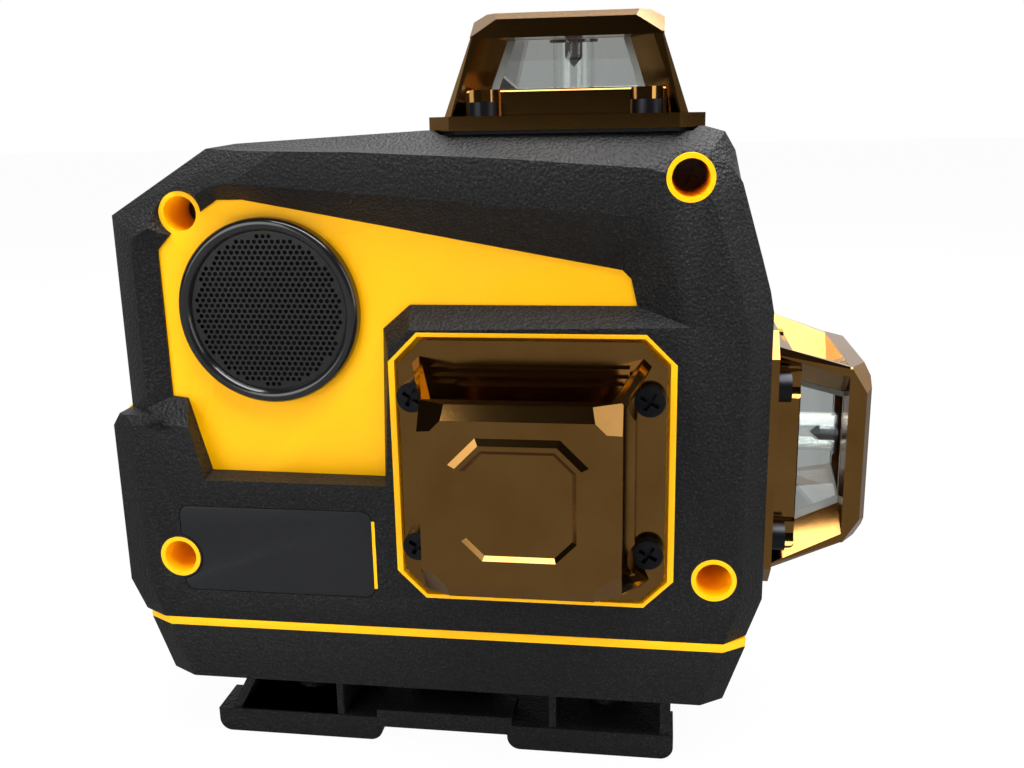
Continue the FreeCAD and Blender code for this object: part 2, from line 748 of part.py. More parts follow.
def make_base_tray():
    top = [vec(x, y, TRAY_TOP_Z) for x, y in tray_outline(0, 0)]
    bottom = [vec(x, y, TRAY_BOTTOM_Z) for x, y in tray_outline(3.8, 0)]
    tray = loft(bottom, top)
    floor = TRAY_BOTTOM_Z + TRAY_FLOOR
    pocket = prism_xy(tray_outline(TRAY_WALL + 3.8, TRAY_WALL), floor, TRAY_TOP_Z + 1)
    tray = tray.cut(pocket)
    posts = []
    for x, y in chassis_post_places():
        posts.append(cylinder(CHASSIS_POST_R, vec(x, y, floor - 1), vec(x, y, CHASSIS_PLATE_Z)))
    for x, y in foot_screw_places():
        posts.append(cylinder(3.0, vec(x, y, floor - 1), vec(x, y, floor + 5)))
    for x in BASE_SCREW_X:
        for y in (-BASE_SCREW_Y, BASE_SCREW_Y):
            posts.append(cylinder(BASE_BOSS_R, vec(x, y, floor - 1), vec(x, y, ARMOUR_BOTTOM_Z)))
    for post in posts:
        tray = tray.fuse(post)
    for x, y in chassis_post_places():
        tray = tray.cut(cylinder(CHASSIS_SCREW_R, vec(x, y, CHASSIS_PLATE_Z - 7), vec(x, y, 40)))
    for x, y in foot_screw_places():
        tray = tray.cut(cylinder(SCREW_R, vec(x, y, 0), vec(x, y, floor + 4)))
    for hole in base_screw_holes():
        tray = tray.cut(hole)
    return tray.cut(cylinder(INSERT_R, vec(0, 0, 0), vec(0, 0, TRAY_BOTTOM_Z)))


def foot_pad(x0, x1, y0, y1):
    pad = box(x0, x1, y0, y1, 0, FOOT_PAD_TOP)
    edges = []
    for edge in pad.Edges:
        middle = edge.CenterOfMass
        if abs(edge.tangentAt(edge.FirstParameter).y) > 0.9 and middle.z < 1:
            edges.append(edge)
    return pad.makeFillet(FOOT_PAD_ROUND, edges)


def make_foot_frame():
    top = TRAY_BOTTOM_Z
    side = FOOT_HALF_Y
    inner = FOOT_HALF_Y - FOOT_PAD_DEPTH
    pieces = []
    for y0, y1 in ((-side, -inner), (inner, side)):
        pieces.append(foot_pad(FOOT_REAR_X, FOOT_REAR_PAD_END, y0, y1))
        pieces.append(foot_pad(FOOT_FRONT_PAD_START, FOOT_FRONT_X, y0, y1))
        pieces.append(box(FOOT_REAR_PAD_END - 1, FOOT_FRONT_PAD_START + 1, y0, y1,
                          FOOT_BAR_BOTTOM, FOOT_BAR_TOP))
    rear = FOOT_REAR_X
    slope = FOOT_END_SLOPE
    wall = FOOT_END_WALL
    end = [(rear + 1, 2.0), (rear + 1 + slope, top), (rear + 1 + slope + wall, top),
           (rear + 1 + wall, 2.0)]
    pieces.append(prism_xz(end, -side + 0.5, side - 0.5))
    front = FOOT_FRONT_X
    pieces.append(box(front - 0.6 - wall, front - 0.6, -side + 0.5, side - 0.5, 2.0, top))
    for x in FOOT_WEB_X:
        pieces.append(box(x - FOOT_WEB / 2, x + FOOT_WEB / 2, -side + 0.5, side - 0.5,
                          FOOT_BAR_BOTTOM, top))
    pieces.append(box(rear + 2, front - 1, -inner - 1, inner + 1, FOOT_BAR_BOTTOM, FOOT_PAD_TOP))
    pieces.append(cylinder(FOOT_BOSS_R, vec(0, 0, 0), vec(0, 0, top)))
    for x, y in foot_screw_places():
        pieces.append(cylinder(3.8, vec(x, y, FOOT_BAR_BOTTOM), vec(x, y, top)))
    frame = pieces[0]
    for piece in pieces[1:]:
        frame = frame.fuse(piece)
    frame = frame.cut(cylinder(INSERT_R, vec(0, 0, -1), vec(0, 0, top + 1)))
    for x, y in foot_screw_places():
        frame = frame.cut(cylinder(SCREW_R, vec(x, y, 0), vec(x, y, top + 1)))
        frame = frame.cut(cylinder(SCREW_HEAD_R, vec(x, y, 0), vec(x, y, top - 4)))
    return frame.removeSplitter()


def make_tripod_insert():
    return tube(INSERT_R, THREAD_R, vec(0, 0, 0), vec(0, 0, INSERT_LENGTH)).fuse(
        cylinder(INSERT_R, vec(0, 0, INSERT_LENGTH), vec(0, 0, TRAY_BOTTOM_Z)))


def screw(place_at, direction, head_r, head, shank_r, length):
    """A screw whose head's underside is at a place, with a cross recess in the head."""
    top = place_at - direction * head
    body = cylinder(head_r, top, place_at).fuse(
        cylinder(shank_r, place_at - direction * 0.2, place_at + direction * (length - head)))
    width = head_r * 0.28
    reach = head_r * 1.3
    side = direction.cross(vec(0.31, 0.53, 0.79)).normalize()
    other = direction.cross(side)
    for a, b in ((side, other), (other, side)):
        corner = top - a * (reach / 2) - b * (width / 2) - direction * 0.5
        slot = prism([corner, corner + a * reach, corner + a * reach + b * width, corner + b * width],
                     direction * (0.5 + head * 0.45))
        body = body.cut(slot)
    return body


def make_housing_screws():
    screws = []
    for (x, z), reach in housing_tubes():
        screws.append(screw(vec(x, -TUBE_SEAT_Y, z), vec(0, 1, 0), SCREW_HEAD_R, SCREW_HEAD,
                            SCREW_R, SCREW_LENGTH))
    return screws


def make_base_screws():
    screws = []
    for x in BASE_SCREW_X:
        for y in (-BASE_SCREW_Y, BASE_SCREW_Y):
            screws.append(screw(vec(x, y, TRAY_BOTTOM_Z), vec(0, 0, 1), SCREW_HEAD_R, SCREW_HEAD,
                                SCREW_R, 20.0))
    return screws


def make_foot_screws():
    seat = TRAY_BOTTOM_Z - 4
    return [screw(vec(x, y, seat), vec(0, 0, 1), SCREW_HEAD_R - 0.1, SCREW_HEAD, SCREW_R, 12.0)
            for x, y in foot_screw_places()]


# Emitter cages, drawn at the flange's face with w outwards

def frustum(half0, w0, half1, w1, chamfer0, chamfer1):
    low = [vec(u, v, w0) for u, v in octagon(half0, half0, chamfer0)]
    high = [vec(u, v, w1) for u, v in octagon(half1, half1, chamfer1)]
    return loft(low, high)


def square(half, w):
    return [vec(half, -half, w), vec(half, half, w), vec(-half, half, w), vec(-half, -half, w)]


def quarter_turns(shape):
    turned = []
    for step in range(4):
        copy = shape.copy()
        copy.rotate(vec(0, 0, 0), vec(0, 0, 1), 90 * step)
        turned.append(copy)
    return turned


def cage_half(w):
    """Half the cage's width at a height, along its leaning flanks."""
    return CAGE_BASE_HALF - (CAGE_BASE_HALF - CAGE_TOP_HALF) * w / CAP_START


def leaning_square(setback):
    """A solid whose sides lean with the flanks, set back from them."""
    rows = [(w, cage_half(w) - setback) for w in (-0.5, CAP_START + 0.5)]
    return loft(*[square(half, w) for w, half in rows])


def window_cutter():
    """The opening on the +u flank, which narrows inwards to the pane so that posts are kite-shaped."""
    sections = []
    for w, opening in ((0, WINDOW_BASE_HALF), (CAP_START, WINDOW_TOP_HALF)):
        outer = cage_half(w)
        inner = outer - PANE_SETBACK
        spread = (opening - inner + WINDOW_INNER_LIP) / PANE_SETBACK
        far = outer + 0.6
        near = inner - 0.6
        wide = opening + 0.6 * spread
        narrow = inner - WINDOW_INNER_LIP - 0.6 * spread
        sections.append([vec(near, -narrow, w), vec(far, -wide, w), vec(far, wide, w), vec(near, narrow, w)])
    return loft(*sections)


def base_bar():
    """The foot bar of a screw flank, with round seats cut for the screw heads."""
    bar = box(BAR_OUTER - 6, BAR_OUTER, -BAR_HALF, BAR_HALF, -0.5, BAR_HEIGHT)
    edges = [e for e in bar.Edges if e.CenterOfMass.x > BAR_OUTER - 0.1 and e.CenterOfMass.z > BAR_HEIGHT - 0.1]
    bar = bar.makeFillet(BAR_ROUND, edges)
    for v in (-CAGE_SCREW_V, CAGE_SCREW_V):
        seat = cylinder(COUNTERBORE_R, vec(CAGE_SCREW_U, v, 0), vec(CAGE_SCREW_U, v, BAR_HEIGHT + 1))
        bar = bar.cut(seat)
    return bar


def stepped_ridge():
    """The steps at the window's foot on a flank without screws."""
    height = BAR_HEIGHT / len(RIDGE_OUTER)
    ridge = None
    for step, outer in enumerate(RIDGE_OUTER):
        layer = box(BAR_OUTER - 6, outer, -BAR_HALF, BAR_HALF, -0.5, height * (step + 1))
        ridge = layer if ridge is None else ridge.fuse(layer)
    return ridge


def cap_corner_cutter():
    """What slopes off the cap's corner between +u and +v."""
    face = 2 * (CAGE_TOP_HALF - CAP_BEVEL_WIDTH) - CAP_CORNER_CUT
    points = []
    for w in (CAP_START - 1, CAP_TOP + 1):
        half = (face + CAP_CORNER_SLOPE * (CAP_TOP - w)) / 2
        points.append(vec(half, half, w) + vec(20, -20, 0))
    points += [points[1] + vec(20, 20, 0), points[0] + vec(20, 20, 0)]
    return prism(points, vec(-40, 40, 0))


def medallion(half, w0, w1, slope):
    """An eight-sided frustum whose sides keep their distance from the cap's raised frame."""
    def chamfer(at_half):
        return MEDALLION_CHAMFER - (MEDALLION_HALF - at_half) * (2 - math.sqrt(2))
    end = half + slope * (w1 - w0)
    return frustum(half, w0, end, w1, chamfer(half), chamfer(end))


def cage_cap():
    side_top = CAP_START + CAP_SIDE
    corner = CAGE_CORNER_TOP
    cap = prism_xy(octagon(CAGE_TOP_HALF, CAGE_TOP_HALF, corner), CAP_START, side_top)
    face_half = CAGE_TOP_HALF - CAP_BEVEL_WIDTH
    cap = cap.fuse(frustum(CAGE_TOP_HALF, side_top, face_half, CAP_TOP, corner, corner))
    for cutter in quarter_turns(cap_corner_cutter()):
        cap = cap.cut(cutter)
    rim = CAP_TOP + MEDALLION_RISE
    floor = rim - MEDALLION_DEPTH
    inner = MEDALLION_HALF - MEDALLION_RING - MEDALLION_DEPTH
    cap = cap.fuse(medallion(MEDALLION_HALF, CAP_TOP, rim, -MEDALLION_BEVEL / MEDALLION_RISE))
    cap = cap.cut(medallion(inner, floor, rim + 1, 1.0))
    hollow_half = CAGE_TOP_HALF - PANE_SETBACK - CAP_LIP
    hollow = prism_xy(octagon(hollow_half, hollow_half, CAGE_CORNER), CAP_START - 1, floor - CAP_SKIN)
    return cap.cut(hollow)


def make_cage():
    flange = prism_xy(octagon(FLANGE_HALF_U, FLANGE_HALF_V, FLANGE_CHAMFER), -FLANGE_THICKNESS, 0)
    posts = frustum(CAGE_BASE_HALF, 0, CAGE_TOP_HALF, CAP_START, CAGE_CORNER, CAGE_CORNER_TOP)
    for cutter in quarter_turns(window_cutter()):
        posts = posts.cut(cutter)
    foot = quarter_turns(base_bar())[::2] + quarter_turns(stepped_ridge())[1::2]
    for piece in foot:
        posts = posts.fuse(piece)
    posts = posts.cut(leaning_square(PANE_SETBACK))
    cage = flange.fuse(posts.common(box(-30, 30, -30, 30, 0, CAP_START))).fuse(cage_cap())
    aperture = box(-APERTURE_HALF, APERTURE_HALF, -APERTURE_HALF, APERTURE_HALF,
                   -FLANGE_THICKNESS - 1, 1)
    cage = cage.cut(aperture)
    for u in (-CAGE_SCREW_U, CAGE_SCREW_U):
        for v in (-CAGE_SCREW_V, CAGE_SCREW_V):
            cage = cage.cut(cylinder(CAGE_SCREW_R, vec(u, v, -5), vec(u, v, 1)))
            cage = cage.cut(cylinder(CAGE_SCREW_HEAD_R + 0.3, vec(u, v, 0), vec(u, v, 5)))
    return cage.removeSplitter()


def make_windows():
    """Four mitred panes that lean against the posts."""
    low_out = CAGE_BASE_HALF - PANE_SETBACK
    high_out = CAGE_TOP_HALF - PANE_SETBACK
    sections = []
    for outer, w in ((low_out, 0), (high_out, CAP_START)):
        inner = outer - PANE_THICKNESS
        sections.append([vec(inner, -inner, w), vec(outer, -outer, w), vec(outer, outer, w), vec(inner, inner, w)])
    return quarter_turns(loft(*sections))


def make_cage_screws():
    screws = []
    for u in (-CAGE_SCREW_U, CAGE_SCREW_U):
        for v in (-CAGE_SCREW_V, CAGE_SCREW_V):
            one = screw(vec(u, v, 0), vec(0, 0, -1), CAGE_SCREW_HEAD_R, CAGE_SCREW_HEAD,
                        CAGE_SCREW_R, CAGE_SCREW_LENGTH)
            screws.append(one)
    return screws


def make_gasket():
    back = -FLANGE_THICKNESS
    outline = octagon(FLANGE_HALF_U - GASKET_INSET, FLANGE_HALF_V - GASKET_INSET, FLANGE_CHAMFER)
    ring = prism_xy(outline, back - GASKET_THICKNESS, back)
    ring = ring.cut(cylinder(EMITTER_HOLE_R, vec(0, 0, -9), vec(0, 0, 9)))
    for u in (-CAGE_SCREW_U, CAGE_SCREW_U):
        for v in (-CAGE_SCREW_V, CAGE_SCREW_V):
            ring = ring.cut(cylinder(CAGE_SCREW_R, vec(u, v, -9), vec(u, v, 9)))
    return ring


# Emitters on the pendulum

def make_glass_tube():
    return tube(TUBE_R, TUBE_R - TUBE_WALL, vec(0, 0, TUBE_START), vec(0, 0, TUBE_END))


def make_cone_mirror():
    disc = cylinder(TUBE_DISC_R, vec(0, 0, TUBE_END), vec(0, 0, TUBE_END + TUBE_DISC))
    stem = cylinder(CONE_R, vec(0, 0, CONE_BASE), vec(0, 0, TUBE_END))
    tip = Part.makeCone(0, CONE_R, CONE_BASE - CONE_TIP, vec(0, 0, CONE_TIP), vec(0, 0, 1))
    return disc.fuse(stem).fuse(tip)


def make_barrel(side):
    """The laser module's barrel, from its seat on the pendulum to the foot of its glass tube."""
    origin, _, out = SIDES[side]
    seats = {
        "top": vec(origin.x, origin.y, PIVOT.z + HEAD_HALF),
        "side": vec(origin.x, -BLOCK_HALF_Y, origin.z),
        "front": vec(BLOCK_FRONT_X, origin.y, origin.z),
    }
    seat = seats[side]
    end = origin + out * TUBE_START
    shoulder = end - out * 3.0
    barrel = cylinder(BARREL_R, seat, shoulder)
    nose = cylinder(BARREL_R - 1.0, shoulder, end)
    return barrel.fuse(nose).cut(cylinder(1.2, end - out * 2.0, end))


def make_pendulum_block():
    head = cylinder(HEAD_R, PIVOT - vec(0, 0, HEAD_HALF), PIVOT + vec(0, 0, HEAD_HALF))
    neck = cylinder(NECK_R, vec(PIVOT.x, 0, BLOCK_TOP), vec(PIVOT.x, 0, PIVOT.z - HEAD_HALF))
    block = box(BLOCK_REAR_X, BLOCK_FRONT_X, -BLOCK_HALF_Y, BLOCK_HALF_Y, BLOCK_BOTTOM, BLOCK_TOP)
    stem = cylinder(STEM_R, vec(PIVOT.x, 0, NOSE_Z - 1), vec(PIVOT.x, 0, BLOCK_BOTTOM))
    reach = PIVOT.z - NOSE_Z
    ball = Part.makeSphere(reach, PIVOT)
    body = head.fuse(neck).fuse(block).fuse(stem.common(ball))
    for x in (PIVOT.x - HEAD_R - 1, PIVOT.x + HEAD_R + 1):
        body = body.cut(cylinder(PIN_R, vec(x, 0, PIVOT.z), PIVOT + (vec(x, 0, PIVOT.z) - PIVOT) * 0.4))
    return body.removeSplitter()


def make_damping_magnet():
    start = vec(PIVOT.x, 0, MAGNET_BOTTOM)
    return tube(MAGNET_R, STEM_R, start, start + vec(0, 0, MAGNET_THICKNESS))


def make_balance_weight():
    """Brass plates behind and beside the block that bring the pendulum's weight under its pivot."""
    middle = (BLOCK_TOP + BLOCK_BOTTOM) / 2
    half = WEIGHT_HEIGHT / 2
    behind = box(BLOCK_REAR_X - WEIGHT_BEHIND, BLOCK_REAR_X, -WEIGHT_HALF_Y, WEIGHT_HALF_Y,
                 middle - half, middle + half)
    beside = box(BLOCK_REAR_X + 1, BLOCK_FRONT_X - 1, BLOCK_HALF_Y, BLOCK_HALF_Y + WEIGHT_BESIDE,
                 middle - half, middle + half)
    return [behind, beside]


def make_gimbal_ring():
    start = PIVOT - vec(0, 0, RING_HEIGHT / 2)
    ring = tube(RING_OUTER, RING_INNER, start, start + vec(0, 0, RING_HEIGHT))
    for direction in (vec(1, 0, 0), vec(0, 1, 0)):
        ring = ring.cut(cylinder(BEARING_R, PIVOT - direction * 20, PIVOT + direction * 20))
    return ring


def make_bearings():
    bearings = []
    middle = (RING_OUTER + RING_INNER) / 2
    for direction in (vec(1, 0, 0), vec(-1, 0, 0), vec(0, 1, 0), vec(0, -1, 0)):
        start = PIVOT + direction * (middle - BEARING_LENGTH / 2)
        bearings.append(tube(BEARING_R, BEARING_BORE, start, start + direction * BEARING_LENGTH))
    return bearings


def make_inner_pins():
    pins = []
    reach = (HEAD_R + 1) * 0.4
    for direction in (vec(1, 0, 0), vec(-1, 0, 0)):
        pins.append(cylinder(PIN_R, PIVOT + direction * reach, PIVOT + direction * (RING_OUTER - 0.7)))
    return pins


def make_outer_pins():
    pins = []
    for direction in (vec(0, 1, 0), vec(0, -1, 0)):
        pins.append(cylinder(PIN_R, PIVOT + direction * (RING_INNER + 0.5),
                             PIVOT + direction * (UPRIGHT_INNER + UPRIGHT_THICKNESS)))
    return pins


# Chassis

def copper_post_places():
    radius = COPPER_R - COPPER_POST_R
    return [(PIVOT.x + radius * math.cos(math.radians(a)), radius * math.sin(math.radians(a)))
            for a in (45, 135, 225, 315)]


def make_chassis_frame():
    plate_top = CHASSIS_PLATE_Z + CHASSIS_PLATE
    side = UPRIGHT_INNER + UPRIGHT_THICKNESS
    frame = box(CHASSIS_REAR_X, CHASSIS_FRONT_X, -side, side, CHASSIS_PLATE_Z, plate_top)
    half = UPRIGHT_WIDTH / 2
    for y0, y1 in ((-side, -UPRIGHT_INNER), (UPRIGHT_INNER, side)):
        frame = frame.fuse(box(PIVOT.x - half, PIVOT.x + half, y0, y1, plate_top - 0.5, PIVOT.z - 6))
        frame = frame.fuse(box(PIVOT.x - half / 2, PIVOT.x + half / 2, y0, y1, PIVOT.z - 8, PIVOT.z + 5))
    for x, y in copper_post_places():
        frame = frame.fuse(cylinder(COPPER_POST_R, vec(x, y, plate_top - 0.5), vec(x, y, COPPER_Z)))
    x, z = SIDE_CENTRE
    frame = frame.cut(cylinder(UPRIGHT_HOLE_R, vec(x, -30, z), vec(x, -10, z)))
    frame = frame.cut(cylinder(PIN_R, PIVOT - vec(0, 30, 0), PIVOT + vec(0, 30, 0)))
    frame = frame.cut(cylinder(LIFTER_R + LIFTER_GAP, vec(PIVOT.x, 0, 0), vec(PIVOT.x, 0, 60)))
    for x, y in chassis_post_places():
        frame = frame.cut(cylinder(CHASSIS_SCREW_R, vec(x, y, 0), vec(x, y, 60)))
    return frame


def make_chassis_screws():
    seat = CHASSIS_PLATE_Z + CHASSIS_PLATE
    return [screw(vec(x, y, seat), vec(0, 0, -1), 2.2, 1.6, CHASSIS_SCREW_R, 9.0)
            for x, y in chassis_post_places()]


def make_copper_plate():
    start = vec(PIVOT.x, 0, COPPER_Z)
    return tube(COPPER_R, COPPER_HOLE_R, start, start + vec(0, 0, COPPER_THICKNESS))


# Pendulum lock

def ramp_height(x):
    return RAMP_HEIGHT - LOCK_LIFT / LOCK_TRAVEL * (x - PIVOT.x)


def make_lock_slider():
    half = SLIDER_HEIGHT / 2
    x0 = SLIDER_X
    x1 = SLIDER_X + SLIDER_LENGTH
    inner = UPRIGHT_INNER + UPRIGHT_THICKNESS + 1.0
    low = TRAY_BOTTOM_Z + TRAY_FLOOR + SLIDER_REST
    outside = HALF_WIDTH + 0.3
    neck = box(x0, x1, inner, outside + 1, SLIDER_Z - half, SLIDER_Z + half)
    drop = box(x0, x1, inner, CAVITY_Y - 1.2, low, SLIDER_Z + half)
    arm = box(x0, x1, -RAMP_HALF_Y, CAVITY_Y - 1.2, low, low + 2.5)
    knob = box(x0 - 2.5, x1 + 2.5, outside, outside + KNOB_PROUD,
               SLIDER_Z - KNOB_HEIGHT / 2, SLIDER_Z + KNOB_HEIGHT / 2)
    knob = knob.makeChamfer(0.8, [e for e in knob.Edges if e.CenterOfMass.y > outside + KNOB_PROUD - 0.1])
    for step in range(-2, 3):
        middle = (x0 + x1) / 2 + step * 2.2
        knob = knob.cut(box(middle - 0.4, middle + 0.4, outside + KNOB_PROUD - 0.5, 60,
                            SLIDER_Z - 2.8, SLIDER_Z + 2.8))
    rear = PIVOT.x - LIFTER_R - LOCK_TRAVEL - 1
    front = PIVOT.x + LIFTER_R + 1
    ramp = prism_xz([(x0, low), (front, low), (front, ramp_height(front)),
                     (rear, ramp_height(rear)), (x0, ramp_height(rear))], -RAMP_HALF_Y, RAMP_HALF_Y)
    return neck.fuse(drop).fuse(arm).fuse(knob).fuse(ramp).removeSplitter()


def make_lock_lifter():
    top = NOSE_Z - LOCK_GAP - LOCK_LIFT
    under = CHASSIS_PLATE_Z + CHASSIS_PLATE + LIFTER_REST
    pad = cylinder(LIFTER_PAD_R, vec(PIVOT.x, 0, under), vec(PIVOT.x, 0, top))
    rod = cylinder(LIFTER_R, vec(PIVOT.x, 0, RAMP_HEIGHT - 4), vec(PIVOT.x, 0, under + 0.5))
    reach = LIFTER_R + 1
    rear = PIVOT.x - reach
    front = PIVOT.x + reach
    low = RAMP_HEIGHT - 8
    under_ramp = prism_xz([(rear, low), (front, low), (front, ramp_height(front) + RAMP_GAP),
                           (rear, ramp_height(rear) + RAMP_GAP)], -reach, reach)
    return pad.fuse(rod.cut(under_ramp))


# Battery, electronics, loudspeaker

def make_battery_bay():
    gap = BATTERY_GAP
    wall = BAY_WALL
    half = BATTERY_HALF_Y + gap
    rear = REAR_X + ARMOUR_THICKNESS + SHELL_WALL
    end = BATTERY_END_X + 1.0
    low = BATTERY_BOTTOM - gap
    high = BATTERY_TOP + gap
    bay = box(rear, end + wall, -half - wall, half + wall, low - wall, high + wall)
    return bay.cut(box(rear - 1, end, -half, half, low, high))


def make_battery_pack():
    rear = REAR_X + 0.3
    pack = box(rear, BATTERY_END_X, -BATTERY_HALF_Y, BATTERY_HALF_Y, BATTERY_BOTTOM, BATTERY_TOP)
    grip = (BATTERY_BOTTOM + BATTERY_TOP) / 2
    return pack.cut(box(rear - 1, rear + 1.2, -7, 7, grip - 4, grip + 4))


def make_battery_contacts():
    end = BATTERY_END_X + 1.0
    contacts = []
    for y in (-8.0, -2.7, 2.7, 8.0):
        contacts.append(box(end - CONTACT_THICKNESS, end, y - 1.5, y + 1.5,
                            BATTERY_TOP - 14, BATTERY_TOP - 4))
    return contacts


def make_battery_latch():
    x0 = REAR_X - LATCH_PROUD
    x1 = REAR_X + 1.3
    outline = [(x1, LATCH_BOTTOM), (x0, LATCH_BOTTOM), (x0, LATCH_BOTTOM + 0.6),
               (x0 + 2.4, LATCH_TOP), (x1, LATCH_TOP)]
    return prism_xz(outline, -LATCH_HALF_Y, LATCH_HALF_Y)


def make_main_pcb():
    y = CAVITY_Y - PCB_POST
    board = box(PCB_REAR_X, PCB_FRONT_X, y - PCB_THICKNESS, y, PCB_BOTTOM_Z, PCB_TOP_Z)
    chips = [(-38.0, 92.0, 10.0, 10.0, 1.6), (-22.0, 94.0, 7.0, 5.0, 1.4), (-38.0, 76.0, 6.0, 4.0, 3.0),
             (-22.0, 78.0, 8.0, 8.0, 4.5)]
    for x, z, width, height, rise in chips:
        board = board.fuse(box(x - width / 2, x + width / 2, y - PCB_THICKNESS - rise,
                               y - PCB_THICKNESS + 0.2, z - height / 2, z + height / 2))
    return board


def speaker_axis(y):
    return vec(SPEAKER_X, -y, SPEAKER_Z)


def make_speaker_ring():
    face = PANEL_Y + SPEAKER_PROUD
    ring = tube(SPEAKER_RING_R, SPEAKER_MESH_R, speaker_axis(PANEL_Y), speaker_axis(face))
    outer = [e for e in ring.Edges if e.CenterOfMass.y < -face + 0.1]
    return ring.makeFillet(1.0, outer)


def make_speaker_grille():
    low = PANEL_Y
    return cylinder(SPEAKER_MESH_R, speaker_axis(low), speaker_axis(low + SPEAKER_PROUD - 1.2))


def make_speaker_driver():
    back = CAVITY_Y - SPEAKER_DEPTH
    basket = cylinder(SPEAKER_DRIVER_R, speaker_axis(CAVITY_Y - 4), speaker_axis(CAVITY_Y))
    cone = Part.makeCone(SPEAKER_MAGNET_R, SPEAKER_DRIVER_R - 1, 4, speaker_axis(CAVITY_Y - 8), vec(0, -1, 0))
    magnet = cylinder(SPEAKER_MAGNET_R, speaker_axis(back), speaker_axis(CAVITY_Y - 8))
    return basket.fuse(cone).fuse(magnet)


# Keypad, drawn with z out of the chamfer

def key_places():
    return [(index - 1.5) * KEY_PITCH for index in range(len(KEY_NAMES))]


def make_keypad_bezel():
    half_l = KEYPAD_LENGTH / 2
    half_w = KEYPAD_WIDTH / 2
    depth = ARMOUR_THICKNESS
    mat = depth - KEYPAD_MAT
    plate = box(-half_l, half_l, -half_w, half_w, -mat, 0)
    plate = plate.cut(box(-half_l + 1.5, half_l - 1.5, -half_w + 1.5, half_w - 1.5, -mat - 1, -KEYPAD_BEZEL))
    for y in key_places():
        gap = KEY_GAP
        plate = plate.cut(box(-KEY_LENGTH / 2 - gap, KEY_LENGTH / 2 + gap, y - KEY_WIDTH / 2 - gap,
                              y + KEY_WIDTH / 2 + gap, -depth, 1))
    return keypad_frame(plate)


def make_keypad_mat():
    depth = ARMOUR_THICKNESS
    return keypad_frame(box(-KEYPAD_LENGTH / 2, KEYPAD_LENGTH / 2, -KEYPAD_WIDTH / 2, KEYPAD_WIDTH / 2,
                            -depth, -depth + KEYPAD_MAT))


def make_key(y):
    bottom = -ARMOUR_THICKNESS + KEYPAD_MAT + KEY_TRAVEL + 0.15
    key = box(-KEY_LENGTH / 2, KEY_LENGTH / 2, y - KEY_WIDTH / 2, y + KEY_WIDTH / 2, bottom, KEY_PROUD)
    top = [e for e in key.Edges if e.CenterOfMass.z > KEY_PROUD - 0.01]
    return keypad_frame(key.makeFillet(0.4, top))


def save(name, shape):
    if isinstance(shape, list):
        shape = Part.makeCompound(shape)
    shape.exportStep(os.path.join("parts", name + ".step"))
    print(name, len(shape.Solids), round(shape.Volume, 1), shape.isValid())


def main():
    os.makedirs("parts", exist_ok=True)
    near_armour, far_armour = make_armour()
    near_shell, far_shell = make_shells()
    save("right_armour", near_armour)
    save("left_armour", far_armour)
    save("right_shell", near_shell)
    save("left_shell", far_shell)
    save("base_tray", make_base_tray())
    save("base_seal", make_base_seal())
    save("foot_frame", make_foot_frame())
    save("tripod_insert", make_tripod_insert())
    save("housing_screws", make_housing_screws())
    save("base_screws", make_base_screws())
    save("foot_screws", make_foot_screws())
    for side in SIDES:
        save(side + "_cage", at(side, make_cage()))
        save(side + "_windows", [at(side, pane) for pane in make_windows()])
        save(side + "_cage_screws", [at(side, one) for one in make_cage_screws()])
        save(side + "_gasket", at(side, make_gasket()))
        save(side + "_glass_tube", at(side, make_glass_tube()))
        save(side + "_cone_mirror", at(side, make_cone_mirror()))
        save(side + "_laser_module", make_barrel(side))
    save("pendulum_block", make_pendulum_block())
    save("damping_magnet", make_damping_magnet())
    save("balance_weight", make_balance_weight())
    save("gimbal_ring", make_gimbal_ring())
    save("gimbal_bearings", make_bearings())
    save("gimbal_pins_inner", make_inner_pins())
    save("gimbal_pins_outer", make_outer_pins())
    save("chassis_frame", make_chassis_frame())
    save("chassis_screws", make_chassis_screws())
    save("copper_plate", make_copper_plate())
    save("lock_slider", make_lock_slider())
    save("lock_lifter", make_lock_lifter())
    save("battery_bay", make_battery_bay())
    save("battery_pack", make_battery_pack())
    save("battery_contacts", make_battery_contacts())
    save("battery_latch", make_battery_latch())
    save("main_pcb", make_main_pcb())
    save("speaker_ring", make_speaker_ring())
    save("speaker_grille", make_speaker_grille())
    save("speaker_driver", make_speaker_driver())
    save("rating_plate", plate_shape(0.0, PLATE_THICKNESS))
    save("plate_trim", trim_strip(0.0))
    save("keypad_bezel", make_keypad_bezel())
    save("keypad_mat", make_keypad_mat())
    for name, y in zip(KEY_NAMES, key_places()):
        save(name, make_key(y))


main()
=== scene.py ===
import bmesh
import bpy
import json
import math
from mathutils import Euler, Matrix, Vector


